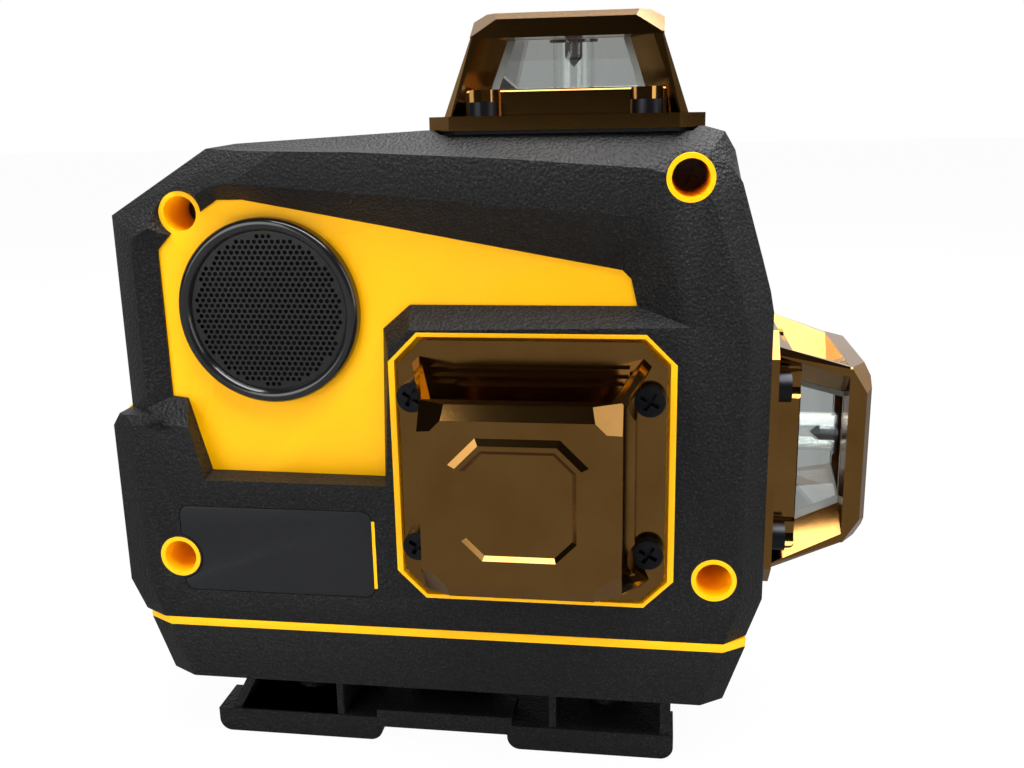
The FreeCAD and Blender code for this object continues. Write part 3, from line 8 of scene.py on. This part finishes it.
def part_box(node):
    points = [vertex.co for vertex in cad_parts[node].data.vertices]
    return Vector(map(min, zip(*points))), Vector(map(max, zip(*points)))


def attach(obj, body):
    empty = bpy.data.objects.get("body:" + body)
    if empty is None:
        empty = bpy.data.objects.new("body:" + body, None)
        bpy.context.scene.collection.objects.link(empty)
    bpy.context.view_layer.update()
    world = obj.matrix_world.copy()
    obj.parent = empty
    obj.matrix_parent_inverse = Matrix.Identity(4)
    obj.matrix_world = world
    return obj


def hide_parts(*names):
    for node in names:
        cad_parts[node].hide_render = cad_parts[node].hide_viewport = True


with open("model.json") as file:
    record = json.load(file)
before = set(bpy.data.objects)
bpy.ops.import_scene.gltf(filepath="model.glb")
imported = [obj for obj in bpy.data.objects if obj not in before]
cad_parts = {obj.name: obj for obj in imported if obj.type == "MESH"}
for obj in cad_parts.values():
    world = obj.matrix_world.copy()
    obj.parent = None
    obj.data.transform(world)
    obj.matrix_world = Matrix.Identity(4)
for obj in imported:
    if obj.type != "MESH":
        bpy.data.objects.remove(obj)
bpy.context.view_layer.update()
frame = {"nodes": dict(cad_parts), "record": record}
nodes = frame["nodes"]
scene = bpy.context.scene
MM = 0.001
WHITE = (1.0, 1.0, 1.0, 1.0)


# Colours

def linear(red, green, blue):
    """A colour read off as 0 to 255 values, as the shader wants it."""
    def channel(value):
        value = value / 255.0
        return value / 12.92 if value <= 0.04045 else ((value + 0.055) / 1.055) ** 2.4
    return (channel(red), channel(green), channel(blue), 1.0)


# Node groups for surface effects that several finishes share

def new_group(name, inputs, outputs):
    group = bpy.data.node_groups.new(name, "ShaderNodeTree")
    for label, kind, value in inputs:
        socket = group.interface.new_socket(label, in_out="INPUT", socket_type=kind)
        socket.default_value = value
    for label, kind in outputs:
        group.interface.new_socket(label, in_out="OUTPUT", socket_type=kind)
    return group, group.nodes.new("NodeGroupInput"), group.nodes.new("NodeGroupOutput")


def math_node(tree, operation, first, second, third=None, clamp=False):
    node = tree.nodes.new("ShaderNodeMath")
    node.operation = operation
    node.use_clamp = clamp
    for index, value in enumerate((first, second, third)):
        if value is None:
            continue
        if isinstance(value, (int, float)):
            node.inputs[index].default_value = value
        else:
            tree.links.new(value, node.inputs[index])
    return node.outputs[0]


def noise_node(tree, vector, scale, detail, roughness=0.5):
    node = tree.nodes.new("ShaderNodeTexNoise")
    node.inputs["Detail"].default_value = detail
    node.inputs["Roughness"].default_value = roughness
    tree.links.new(vector, node.inputs["Vector"])
    if isinstance(scale, (int, float)):
        node.inputs["Scale"].default_value = scale
    else:
        tree.links.new(scale, node.inputs["Scale"])
    return node.outputs["Fac"]


def moulded_grain_group():
    """The leathery grain of the armour's moulds, with small bright specks that are painted glints."""
    group, given, made = new_group(
        "moulded grain",
        [("Grain size", "NodeSocketFloat", 0.0008), ("Speckle", "NodeSocketFloat", 0.5)],
        [("Height", "NodeSocketFloat"), ("Speckle", "NodeSocketFloat"),
         ("Patches", "NodeSocketFloat")])
    place = group.nodes.new("ShaderNodeTexCoord").outputs["Object"]
    scale = math_node(group, "DIVIDE", 1.0, given.outputs["Grain size"])
    cells = group.nodes.new("ShaderNodeTexVoronoi")
    cells.feature = "SMOOTH_F1"
    cells.inputs["Smoothness"].default_value = 0.6
    group.links.new(place, cells.inputs["Vector"])
    group.links.new(scale, cells.inputs["Scale"])
    fine = noise_node(group, place, math_node(group, "MULTIPLY", scale, 1.7), 3.0, 0.6)
    broad = noise_node(group, place, 70.0, 2.0)
    pebbles = math_node(group, "SUBTRACT", 1.0, cells.outputs["Distance"])
    height = math_node(group, "MULTIPLY_ADD", fine, 0.7, pebbles)
    # Painted glints: the tips of the fine noise become small bright specks in the colour.
    sharp = math_node(group, "MULTIPLY_ADD", fine, 5.0, -2.6, clamp=True)
    painted_glints = math_node(group, "MULTIPLY", sharp, given.outputs["Speckle"])
    group.links.new(height, made.inputs["Height"])
    group.links.new(painted_glints, made.inputs["Speckle"])
    group.links.new(broad, made.inputs["Patches"])
    return group


def handling_group():
    """Faint smears, fine scratches and dust that change how glossy a surface is."""
    group, given, made = new_group(
        "handling marks",
        [("Smear size", "NodeSocketFloat", 0.02), ("Least", "NodeSocketFloat", 0.2),
         ("Most", "NodeSocketFloat", 0.35)],
        [("Roughness", "NodeSocketFloat"), ("Height", "NodeSocketFloat"),
         ("Smear", "NodeSocketFloat")])
    place = group.nodes.new("ShaderNodeTexCoord").outputs["Object"]
    scale = math_node(group, "DIVIDE", 1.0, given.outputs["Smear size"])
    smear = noise_node(group, place, scale, 4.0, 0.55)
    fine = noise_node(group, place, math_node(group, "MULTIPLY", scale, 26.0), 3.0, 0.6)
    mixed = math_node(group, "MULTIPLY_ADD", fine, 0.45, math_node(group, "MULTIPLY", smear, 0.75))
    spread = math_node(group, "SUBTRACT", given.outputs["Most"], given.outputs["Least"])
    rough = math_node(group, "MULTIPLY_ADD", mixed, spread, given.outputs["Least"])
    group.links.new(rough, made.inputs["Roughness"])
    group.links.new(fine, made.inputs["Height"])
    group.links.new(smear, made.inputs["Smear"])
    return group


GRAIN = moulded_grain_group()
HANDLING = handling_group()


# Finishes

PATCH_SPREAD = 0.12
GRAINED_SPECULAR = 0.24
PLASTIC_SMEAR_SIZE = 0.012
METAL_RIPPLE = 0.00001
GLASS_ROUGHNESS = 0.015
GLASS_IOR = 1.48


def new_finish(name):
    material = bpy.data.materials.new(name)
    material.use_nodes = True
    tree = material.node_tree
    shader = tree.nodes["Principled BSDF"]
    return material, tree, shader


def place_group(tree, group, **values):
    node = tree.nodes.new("ShaderNodeGroup")
    node.node_tree = group
    for label, value in values.items():
        node.inputs[label.replace("_", " ")].default_value = value
    return node


def blend_colours(tree, mask, first, second):
    node = tree.nodes.new("ShaderNodeMix")
    node.data_type = "RGBA"
    node.inputs["A"].default_value = first
    node.inputs["B"].default_value = second
    tree.links.new(mask, node.inputs["Factor"])
    return node.outputs["Result"]


def bump(tree, shader, height, distance, strength):
    node = tree.nodes.new("ShaderNodeBump")
    node.inputs["Distance"].default_value = distance
    node.inputs["Strength"].default_value = strength
    tree.links.new(height, node.inputs["Height"])
    tree.links.new(node.outputs["Normal"], shader.inputs["Normal"])


def grained_plastic(name, dark, light, grain=0.0006, depth=0.00025, strength=0.8, rough=0.5):
    material, tree, shader = new_finish(name)
    texture = place_group(tree, GRAIN, Grain_size=grain, Speckle=0.8)
    # The light colour lightens the base colour in small dots, as painted glints.
    colour = blend_colours(tree, texture.outputs["Speckle"], dark, light)
    tree.links.new(colour, shader.inputs["Base Color"])
    bump(tree, shader, texture.outputs["Height"], depth, strength)
    roughness = math_node(tree, "MULTIPLY_ADD", texture.outputs["Patches"], PATCH_SPREAD,
                          rough - PATCH_SPREAD / 2)
    tree.links.new(roughness, shader.inputs["Roughness"])
    shader.inputs["Specular IOR Level"].default_value = GRAINED_SPECULAR
    return material


def smooth_plastic(name, colour, worn, least=0.28, most=0.42, coat=0.0, specular=0.5):
    material, tree, shader = new_finish(name)
    marks = place_group(tree, HANDLING, Smear_size=PLASTIC_SMEAR_SIZE, Least=least, Most=most)
    mask = math_node(tree, "MULTIPLY_ADD", marks.outputs["Smear"], 1.6, -0.5, clamp=True)
    tree.links.new(blend_colours(tree, mask, colour, worn), shader.inputs["Base Color"])
    tree.links.new(marks.outputs["Roughness"], shader.inputs["Roughness"])
    bump(tree, shader, marks.outputs["Height"], 0.00003, 0.25)
    shader.inputs["Coat Weight"].default_value = coat
    shader.inputs["Specular IOR Level"].default_value = specular
    return material


def metal(name, colour, shade, least, most, smear=0.01):
    material, tree, shader = new_finish(name)
    marks = place_group(tree, HANDLING, Smear_size=smear, Least=least, Most=most)
    mask = math_node(tree, "MULTIPLY_ADD", marks.outputs["Smear"], 2.0, -0.6, clamp=True)
    tree.links.new(blend_colours(tree, mask, colour, shade), shader.inputs["Base Color"])
    tree.links.new(marks.outputs["Roughness"], shader.inputs["Roughness"])
    bump(tree, shader, marks.outputs["Height"], METAL_RIPPLE, 0.3)
    shader.inputs["Metallic"].default_value = 1.0
    return material


def clear_glass(name, tint):
    material, tree, shader = new_finish(name)
    shader.inputs["Base Color"].default_value = tint
    shader.inputs["Roughness"].default_value = GLASS_ROUGHNESS
    shader.inputs["IOR"].default_value = GLASS_IOR
    shader.inputs["Transmission Weight"].default_value = 1.0
    marks = place_group(tree, HANDLING, Smear_size=0.006, Least=0.0, Most=0.03)
    bump(tree, shader, marks.outputs["Smear"], 0.000004, 0.2)
    return material


FINISH = {
    "black_plastic": grained_plastic("grained black plastic", linear(19, 19, 20), linear(50, 51, 52)),
    "yellow_plastic": smooth_plastic("smooth yellow plastic", linear(255, 184, 0),
                                     linear(250, 178, 0), 0.35, 0.5, specular=0.15),
    "bronze_plating": metal("bronze plating", linear(150, 112, 62), linear(136, 98, 50),
                            0.08, 0.16),
    "brass": metal("turned brass", linear(205, 165, 90), linear(190, 148, 78), 0.22, 0.36, 0.006),
    "black_steel": metal("black oxide steel", linear(52, 52, 56), linear(40, 40, 44),
                         0.3, 0.45, 0.004),
    "steel": metal("ground steel", linear(188, 188, 192), linear(170, 170, 176),
                   0.2, 0.34, 0.004),
    "aluminium": metal("machined aluminium", linear(205, 206, 210), linear(190, 191, 196),
                       0.26, 0.4, 0.006),
    "window_glass": clear_glass("window glass", (0.97, 1.0, 0.985, 1.0)),
    "tube_glass": clear_glass("emitter tube glass", (0.98, 1.0, 0.99, 1.0)),
    "mirror": metal("polished cone mirror", linear(92, 92, 96), linear(70, 70, 76),
                    0.08, 0.16, 0.004),
    "rubber": grained_plastic("matt rubber", linear(24, 24, 26), linear(34, 34, 36),
                              0.0005, 0.00004, 0.4, 0.7),
    "gloss_black": smooth_plastic("glossy black plastic", linear(22, 22, 24), linear(27, 27, 29),
                                  0.12, 0.2, 0.4),
    "grille_mesh": smooth_plastic("painted grille", linear(18, 18, 19), linear(24, 24, 25),
                                  0.12, 0.22, 0.5),
    "label": grained_plastic("bare label foil", linear(27, 28, 30), linear(38, 39, 41),
                             0.0004, 0.00002, 0.35, 0.42),
    "circuit_board": smooth_plastic("green solder mask", linear(18, 78, 44), linear(14, 66, 38),
                                    0.2, 0.3),
    "battery_case": grained_plastic("battery case plastic", linear(36, 37, 39),
                                    linear(52, 53, 56), depth=0.00006, strength=0.5),
    "key_grey": grained_plastic("key rubber", linear(84, 86, 90), linear(98, 100, 104),
                                0.0005, 0.00003, 0.4, 0.55),
}
FROSTED = smooth_plastic("ground glass edge", linear(205, 206, 200), linear(190, 191, 186),
                         0.35, 0.5)
SLOT_OF = {entry["node"]: entry["material_slot"] for entry in frame["record"]["subparts"]}
BODIES = frame["record"]["behaviour"]["bodies"]
BODY_OF = {name: body for body, names in BODIES.items() for name in names}


def finish_node(name):
    mesh = nodes[name].data
    mesh.materials.clear()
    mesh.materials.append(FINISH[SLOT_OF[name]])


for name in nodes:
    finish_node(name)


# Pieces that stand for a CAD node

def settle(piece, *stands_for):
    """Give a finished piece its body and hide the nodes that it stands for."""
    first = stands_for[0]
    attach(piece, BODY_OF[first])
    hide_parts(*stands_for)


def new_piece(name, mesh):
    piece = bpy.data.objects.new(name, mesh)
    scene.collection.objects.link(piece)
    return piece


def evaluated_mesh(piece):
    depsgraph = bpy.context.evaluated_depsgraph_get()
    return bpy.data.meshes.new_from_object(piece.evaluated_get(depsgraph), depsgraph=depsgraph)


WELD_DISTANCE = 0.002 * MM
FLAT_WITHIN = math.radians(0.6)
BEVEL_FROM = math.radians(24.0)
SHARP_FROM = math.radians(28)
BEVEL_SEGMENTS = 2
PANE_EDGE_AREA = 100 * MM * MM


def edge_softened(name, width):
    """A copy of a node with smooth shading and bevelled edges.

    The overlap clamp keeps a bevel narrower than its width wherever short edges meet it.
    """
    mesh = nodes[name].data.copy()
    form = bmesh.new()
    form.from_mesh(mesh)
    bmesh.ops.remove_doubles(form, verts=form.verts, dist=WELD_DISTANCE)
    bmesh.ops.dissolve_limit(form, angle_limit=FLAT_WITHIN, verts=form.verts, edges=form.edges)
    if SLOT_OF[name] == "window_glass":
        mesh.materials.append(FROSTED)
        for face in form.faces:
            face.material_index = int(face.calc_area() < PANE_EDGE_AREA)
    form.to_mesh(mesh)
    form.free()
    piece = new_piece(name + "_finished", mesh)
    round_over = piece.modifiers.new("edge rounding", "BEVEL")
    round_over.width = width
    round_over.segments = BEVEL_SEGMENTS
    round_over.limit_method = "ANGLE"
    round_over.angle_limit = BEVEL_FROM
    round_over.miter_outer = "MITER_ARC"
    round_over.use_clamp_overlap = True
    result = evaluated_mesh(piece)
    piece.modifiers.clear()
    piece.data = result
    result.shade_smooth()
    result.set_sharp_from_angle(angle=SHARP_FROM)
    settle(piece, name)


EDGE_WIDTHS = {
    "right_armour": 0.35, "left_armour": 0.35, "right_shell": 0.12, "left_shell": 0.12,
    "base_tray": 0.35, "base_seal": 0.15, "foot_frame": 0.3, "battery_latch": 0.25,
    "battery_pack": 0.6, "lock_slider": 0.15, "keypad_bezel": 0.2, "rating_plate": 0.12,
    "power_key": 0.12, "side_line_key": 0.12, "front_line_key": 0.12, "top_line_key": 0.12,
    "top_windows": 0.15, "side_windows": 0.15, "front_windows": 0.15,
}
for node_name, edge in EDGE_WIDTHS.items():
    edge_softened(node_name, edge * MM)


# Perforated loudspeaker sheet

ROW_SPACING = math.sqrt(0.75)
RIM_IN_PITCHES = 0.75
HOLE_SIDES = 10
ROUND_SIDES = 96


def tree_with_sizes(name, sizes):
    tree = bpy.data.node_groups.new(name, "GeometryNodeTree")
    tree.interface.new_socket("Geometry", in_out="OUTPUT", socket_type="NodeSocketGeometry")
    sockets = {}
    for label, kind, value in sizes:
        socket = tree.interface.new_socket(label, in_out="INPUT", socket_type=kind)
        if value is not None:
            socket.default_value = value
        sockets[label] = socket.identifier
    return tree, tree.nodes.new("NodeGroupInput"), tree.nodes.new("NodeGroupOutput"), sockets


def join(tree, *ends):
    for source, target in zip(ends[::2], ends[1::2]):
        tree.links.new(source, target)


def perforated_sheet_tree():
    """A round sheet with rows of round holes, every second row shifted by half a pitch."""
    tree, given, made, sockets = tree_with_sizes("perforated sheet", [
        ("Sheet radius", "NodeSocketFloat", 0.0146), ("Hole pitch", "NodeSocketFloat", 0.0011),
        ("Hole radius", "NodeSocketFloat", 0.0004), ("Thickness", "NodeSocketFloat", 0.0004),
        ("Rows", "NodeSocketInt", 33), ("Finish", "NodeSocketMaterial", None)])
    new = tree.nodes.new
    grid = new("GeometryNodeMeshGrid")
    width = math_node(tree, "MULTIPLY", math_node(tree, "SUBTRACT", given.outputs["Rows"], 1.0),
                      given.outputs["Hole pitch"])
    join(tree, width, grid.inputs["Size X"], width, grid.inputs["Size Y"],
         given.outputs["Rows"], grid.inputs["Vertices X"],
         given.outputs["Rows"], grid.inputs["Vertices Y"])
    position = new("GeometryNodeInputPosition").outputs[0]
    parts = new("ShaderNodeSeparateXYZ")
    join(tree, position, parts.inputs[0])
    height = math_node(tree, "DIVIDE", parts.outputs["Y"], given.outputs["Hole pitch"])
    row = math_node(tree, "ROUND", height, 0.0)
    odd = math_node(tree, "PINGPONG", row, 1.0)
    half = math_node(tree, "MULTIPLY", odd, 0.5)
    shift = math_node(tree, "MULTIPLY", half, given.outputs["Hole pitch"])
    placed = new("ShaderNodeCombineXYZ")
    join(tree, math_node(tree, "ADD", parts.outputs["X"], shift), placed.inputs["X"],
         math_node(tree, "MULTIPLY", parts.outputs["Y"], ROW_SPACING), placed.inputs["Y"])
    lattice = new("GeometryNodeSetPosition")
    join(tree, grid.outputs["Mesh"], lattice.inputs["Geometry"],
         placed.outputs[0], lattice.inputs["Position"])
    far = new("ShaderNodeVectorMath")
    far.operation = "LENGTH"
    join(tree, new("GeometryNodeInputPosition").outputs[0], far.inputs[0])
    rim = math_node(tree, "SUBTRACT", given.outputs["Sheet radius"],
                    math_node(tree, "MULTIPLY", given.outputs["Hole pitch"], RIM_IN_PITCHES))
    outside = math_node(tree, "GREATER_THAN", far.outputs["Value"], rim)
    kept = new("GeometryNodeDeleteGeometry")
    kept.domain = "POINT"
    join(tree, lattice.outputs["Geometry"], kept.inputs["Geometry"],
         outside, kept.inputs["Selection"])
    points = new("GeometryNodeMeshToPoints")
    join(tree, kept.outputs["Geometry"], points.inputs["Mesh"])
    hole = new("GeometryNodeCurvePrimitiveCircle")
    hole.inputs["Resolution"].default_value = HOLE_SIDES
    join(tree, given.outputs["Hole radius"], hole.inputs["Radius"])
    holes = new("GeometryNodeInstanceOnPoints")
    join(tree, points.outputs["Points"], holes.inputs["Points"],
         hole.outputs["Curve"], holes.inputs["Instance"])
    realized = new("GeometryNodeRealizeInstances")
    join(tree, holes.outputs["Instances"], realized.inputs["Geometry"])
    edge = new("GeometryNodeCurvePrimitiveCircle")
    edge.inputs["Resolution"].default_value = ROUND_SIDES
    join(tree, given.outputs["Sheet radius"], edge.inputs["Radius"])
    curves = new("GeometryNodeJoinGeometry")
    join(tree, edge.outputs["Curve"], curves.inputs[0],
         realized.outputs["Geometry"], curves.inputs[0])
    fill = new("GeometryNodeFillCurve")
    join(tree, curves.outputs[0], fill.inputs["Curve"])
    extruded = new("GeometryNodeExtrudeMesh")
    extruded.inputs["Individual"].default_value = False
    join(tree, fill.outputs["Mesh"], extruded.inputs["Mesh"],
         given.outputs["Thickness"], extruded.inputs["Offset Scale"])
    back = new("GeometryNodeFlipFaces")
    join(tree, fill.outputs["Mesh"], back.inputs["Mesh"])
    both = new("GeometryNodeJoinGeometry")
    join(tree, extruded.outputs["Mesh"], both.inputs[0], back.outputs["Mesh"], both.inputs[0])
    merged = new("GeometryNodeMergeByDistance")
    merged.inputs["Distance"].default_value = 0.001 * MM
    join(tree, both.outputs[0], merged.inputs["Geometry"])
    painted = new("GeometryNodeSetMaterial")
    join(tree, merged.outputs["Geometry"], painted.inputs["Geometry"],
         given.outputs["Finish"], painted.inputs["Material"],
         painted.outputs["Geometry"], made.inputs["Geometry"])
    return tree, sockets


def grown_by(tree, sockets, name, **sizes):
    """Run a Geometry Nodes tree on an empty piece and keep its result as a plain mesh."""
    piece = new_piece(name, bpy.data.meshes.new(name))
    modifier = piece.modifiers.new("grow", "NODES")
    modifier.node_group = tree
    for label, value in sizes.items():
        modifier[sockets[label.replace("_", " ")]] = value
    result = evaluated_mesh(piece)
    piece.modifiers.clear()
    piece.data = result
    return piece


def turn_to_side(mesh, centre):
    """Take a mesh drawn face up and stand it against the near side at a place."""
    mesh.transform(Matrix.Translation(centre) @ Matrix.Rotation(math.radians(90), 4, "X"))


SHEET_SETBACK = 0.40 * MM
SHEET_PLAY = 0.1 * MM
CLOTH_PLAY = 0.2 * MM
CLOTH_THICKNESS = 0.2 * MM
CLOTH_LIFT = 0.05 * MM
CLOTH_HOLE = 0.1 * MM
CLOTH_STEPS = 64
TOWARDS_NEAR_SIDE = Vector((0, -1, 0))


def make_grille():
    low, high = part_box("speaker_grille")
    centre = (low + high) / 2
    tree, sockets = perforated_sheet_tree()
    radius = (high.x - low.x) / 2
    sheet = grown_by(tree, sockets, "speaker_mesh", Sheet_radius=radius - SHEET_PLAY,
                     Hole_pitch=1.12 * MM, Hole_radius=0.40 * MM, Thickness=0.35 * MM, Rows=35,
                     Finish=FINISH["grille_mesh"])
    turn_to_side(sheet.data, Vector((centre.x, low.y + SHEET_SETBACK, centre.z)))
    settle(sheet, "speaker_grille")


def lathe(name, profile, centre, direction, steps=ROUND_SIDES):
    """Turn a closed profile of radius and height pairs about an axis."""
    form = bmesh.new()
    rings = []
    frame_turn = direction.to_track_quat("Z", "Y").to_matrix()
    for radius, height in profile:
        ring = []
        for step in range(steps):
            angle = 2 * math.pi * step / steps
            local = Vector((radius * math.cos(angle), radius * math.sin(angle), height))
            ring.append(form.verts.new(centre + frame_turn @ local))
        rings.append(ring)
    for here, after in zip(rings, rings[1:] + rings[:1]):
        for step in range(steps):
            nxt = (step + 1) % steps
            form.faces.new((here[step], here[nxt], after[nxt], after[step]))
    bmesh.ops.recalc_face_normals(form, faces=form.faces)
    mesh = bpy.data.meshes.new(name)
    form.to_mesh(mesh)
    form.free()
    mesh.shade_smooth()
    mesh.set_sharp_from_angle(angle=math.radians(40))
    return new_piece(name, mesh)


def arc(centre_r, centre_h, radius, start, end, steps):
    """Points of a rounded corner, for a profile."""
    points = []
    for step in range(steps + 1):
        angle = math.radians(start + (end - start) * step / steps)
        points.append((centre_r + radius * math.cos(angle), centre_h + radius * math.sin(angle)))
    return points


def make_speaker_ring():
    low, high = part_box("speaker_ring")
    outer = (high.x - low.x) / 2
    grille_low, grille_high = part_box("speaker_grille")
    inner = (grille_high.x - grille_low.x) / 2
    proud = high.y - low.y
    middle = (outer + inner) / 2
    half = (outer - inner) / 2
    profile = [(inner, 0.0), (outer, 0.0), (outer, proud - half)]
    profile += arc(middle, proud - half, half, 0, 180, 10)[1:]
    centre = Vector(((low.x + high.x) / 2, high.y, (low.z + high.z) / 2))
    ring = lathe("speaker_bezel", profile, centre, TOWARDS_NEAR_SIDE)
    ring.data.materials.append(FINISH["gloss_black"])
    settle(ring, "speaker_ring")


def make_dark_backing():
    """The cloth behind the sheet's holes."""
    low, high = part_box("speaker_grille")
    radius = (high.x - low.x) / 2 - CLOTH_PLAY
    centre = Vector(((low.x + high.x) / 2, high.y - CLOTH_LIFT, (low.z + high.z) / 2))
    profile = [(CLOTH_HOLE, 0.0), (radius, 0.0),
               (radius, CLOTH_THICKNESS), (CLOTH_HOLE, CLOTH_THICKNESS)]
    cloth = lathe("speaker_cloth", profile, centre, TOWARDS_NEAR_SIDE, CLOTH_STEPS)
    cloth.data.materials.append(FINISH["rubber"])
    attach(cloth, "housing")


make_grille()
make_speaker_ring()
make_dark_backing()


# Stage, light and camera

ROOM_SHADE = (0.02, 0.02, 0.02, 1.0)
MIRRORED_FLOOR = (0.3, 0.3, 0.3, 1.0)
WALL_SHADE = (0.9, 0.9, 0.9, 1.0)
FILL_SHADE = (0.16, 0.16, 0.16, 1.0)
FLOOR_SHADE = (0.9, 0.9, 0.9, 1.0)
FLOOR_GLOW_SHARE = 0.975
FLOOR_HALF = 6.0
ABOUT_BODY_CENTRE = (0.0, 0.0, 0.06)


def make_floor():
    """White to the camera except for a faint shadow, and darker in reflections."""
    mesh = bpy.data.meshes.new("floor")
    half = FLOOR_HALF
    corners = [(-half, -half, 0), (half, -half, 0), (half, half, 0), (-half, half, 0)]
    mesh.from_pydata(corners, [], [(0, 1, 2, 3)])
    floor = new_piece("floor", mesh)
    material, tree, shader = new_finish("pale floor")
    shader.inputs["Base Color"].default_value = FLOOR_SHADE
    shader.inputs["Roughness"].default_value = 0.9
    shader.inputs["Specular IOR Level"].default_value = 0.0
    paths = tree.nodes.new("ShaderNodeLightPath")
    seen = math_node(tree, "MAXIMUM", paths.outputs["Is Camera Ray"], paths.outputs["Is Glossy Ray"])
    seen = math_node(tree, "MAXIMUM", seen, paths.outputs["Is Transmission Ray"])
    glow = tree.nodes.new("ShaderNodeEmission")
    tint = blend_colours(tree, paths.outputs["Is Glossy Ray"], WHITE, MIRRORED_FLOOR)
    mix = tree.nodes.new("ShaderNodeMixShader")
    share = math_node(tree, "MULTIPLY", seen, FLOOR_GLOW_SHARE)
    join(tree, tint, glow.inputs["Color"], share, mix.inputs[0],
         shader.outputs[0], mix.inputs[1], glow.outputs[0], mix.inputs[2],
         mix.outputs[0], tree.nodes["Material Output"].inputs["Surface"])
    mesh.materials.append(material)


def make_world():
    """White to the camera, dim as fill light, and in reflections a white wall behind a dark room."""
    world = bpy.data.worlds.new("studio")
    world.use_nodes = True
    tree = world.node_tree
    scene.world = world
    background = tree.nodes["Background"]
    background.inputs["Strength"].default_value = 1.0
    paths = tree.nodes.new("ShaderNodeLightPath")
    seen = math_node(tree, "MAXIMUM", paths.outputs["Is Camera Ray"], paths.outputs["Is Transmission Ray"])
    parts = tree.nodes.new("ShaderNodeSeparateXYZ")
    tree.links.new(tree.nodes.new("ShaderNodeTexCoord").outputs["Generated"], parts.inputs[0])
    behind = math_node(tree, "MULTIPLY_ADD", parts.outputs["Y"], 3.0, -0.3, clamp=True)
    room = blend_colours(tree, behind, ROOM_SHADE, WALL_SHADE)
    fill = blend_colours(tree, paths.outputs["Is Diffuse Ray"], ROOM_SHADE, FILL_SHADE)
    mixed = tree.nodes.new("ShaderNodeMix")
    mixed.data_type = "RGBA"
    mixed.inputs["B"].default_value = WHITE
    tree.links.new(seen, mixed.inputs["Factor"])
    choice = tree.nodes.new("ShaderNodeMix")
    choice.data_type = "RGBA"
    join(tree, paths.outputs["Is Glossy Ray"], choice.inputs["Factor"], fill, choice.inputs["A"],
         room, choice.inputs["B"], choice.outputs["Result"], mixed.inputs["A"],
         mixed.outputs["Result"], background.inputs["Color"])


def softbox(name, place, width, height, power):
    data = bpy.data.lights.new(name, "AREA")
    data.shape = "RECTANGLE"
    data.size = width
    data.size_y = height
    data.energy = power
    lamp = bpy.data.objects.new(name, data)
    scene.collection.objects.link(lamp)
    lamp.location = place
    aim = Vector(ABOUT_BODY_CENTRE) - Vector(place)
    lamp.rotation_euler = aim.to_track_quat("-Z", "Y").to_euler()


def make_camera():
    data = bpy.data.cameras.new("camera")
    data.sensor_width = 36.0
    data.lens = 36.523
    data.clip_start = 0.01
    data.clip_end = 50.0
    camera = bpy.data.objects.new("camera", data)
    scene.collection.objects.link(camera)
    camera.location = (0.041711, -0.203293, 0.118538)
    camera.rotation_euler = Euler((math.radians(75.9728), math.radians(1.0395), math.radians(8.1961)))
    scene.camera = camera


make_floor()
make_world()
softbox("overhead softbox", (0.1, 0.0, 0.7), width=0.9, height=0.6, power=15.0)
softbox("front softbox", (-0.45, -0.75, 0.35), width=0.5, height=0.6, power=2.9)
softbox("right softbox", (0.8, -0.25, 0.3), width=0.4, height=0.6, power=1.5)
make_camera()
scene.view_settings.view_transform = "Standard"
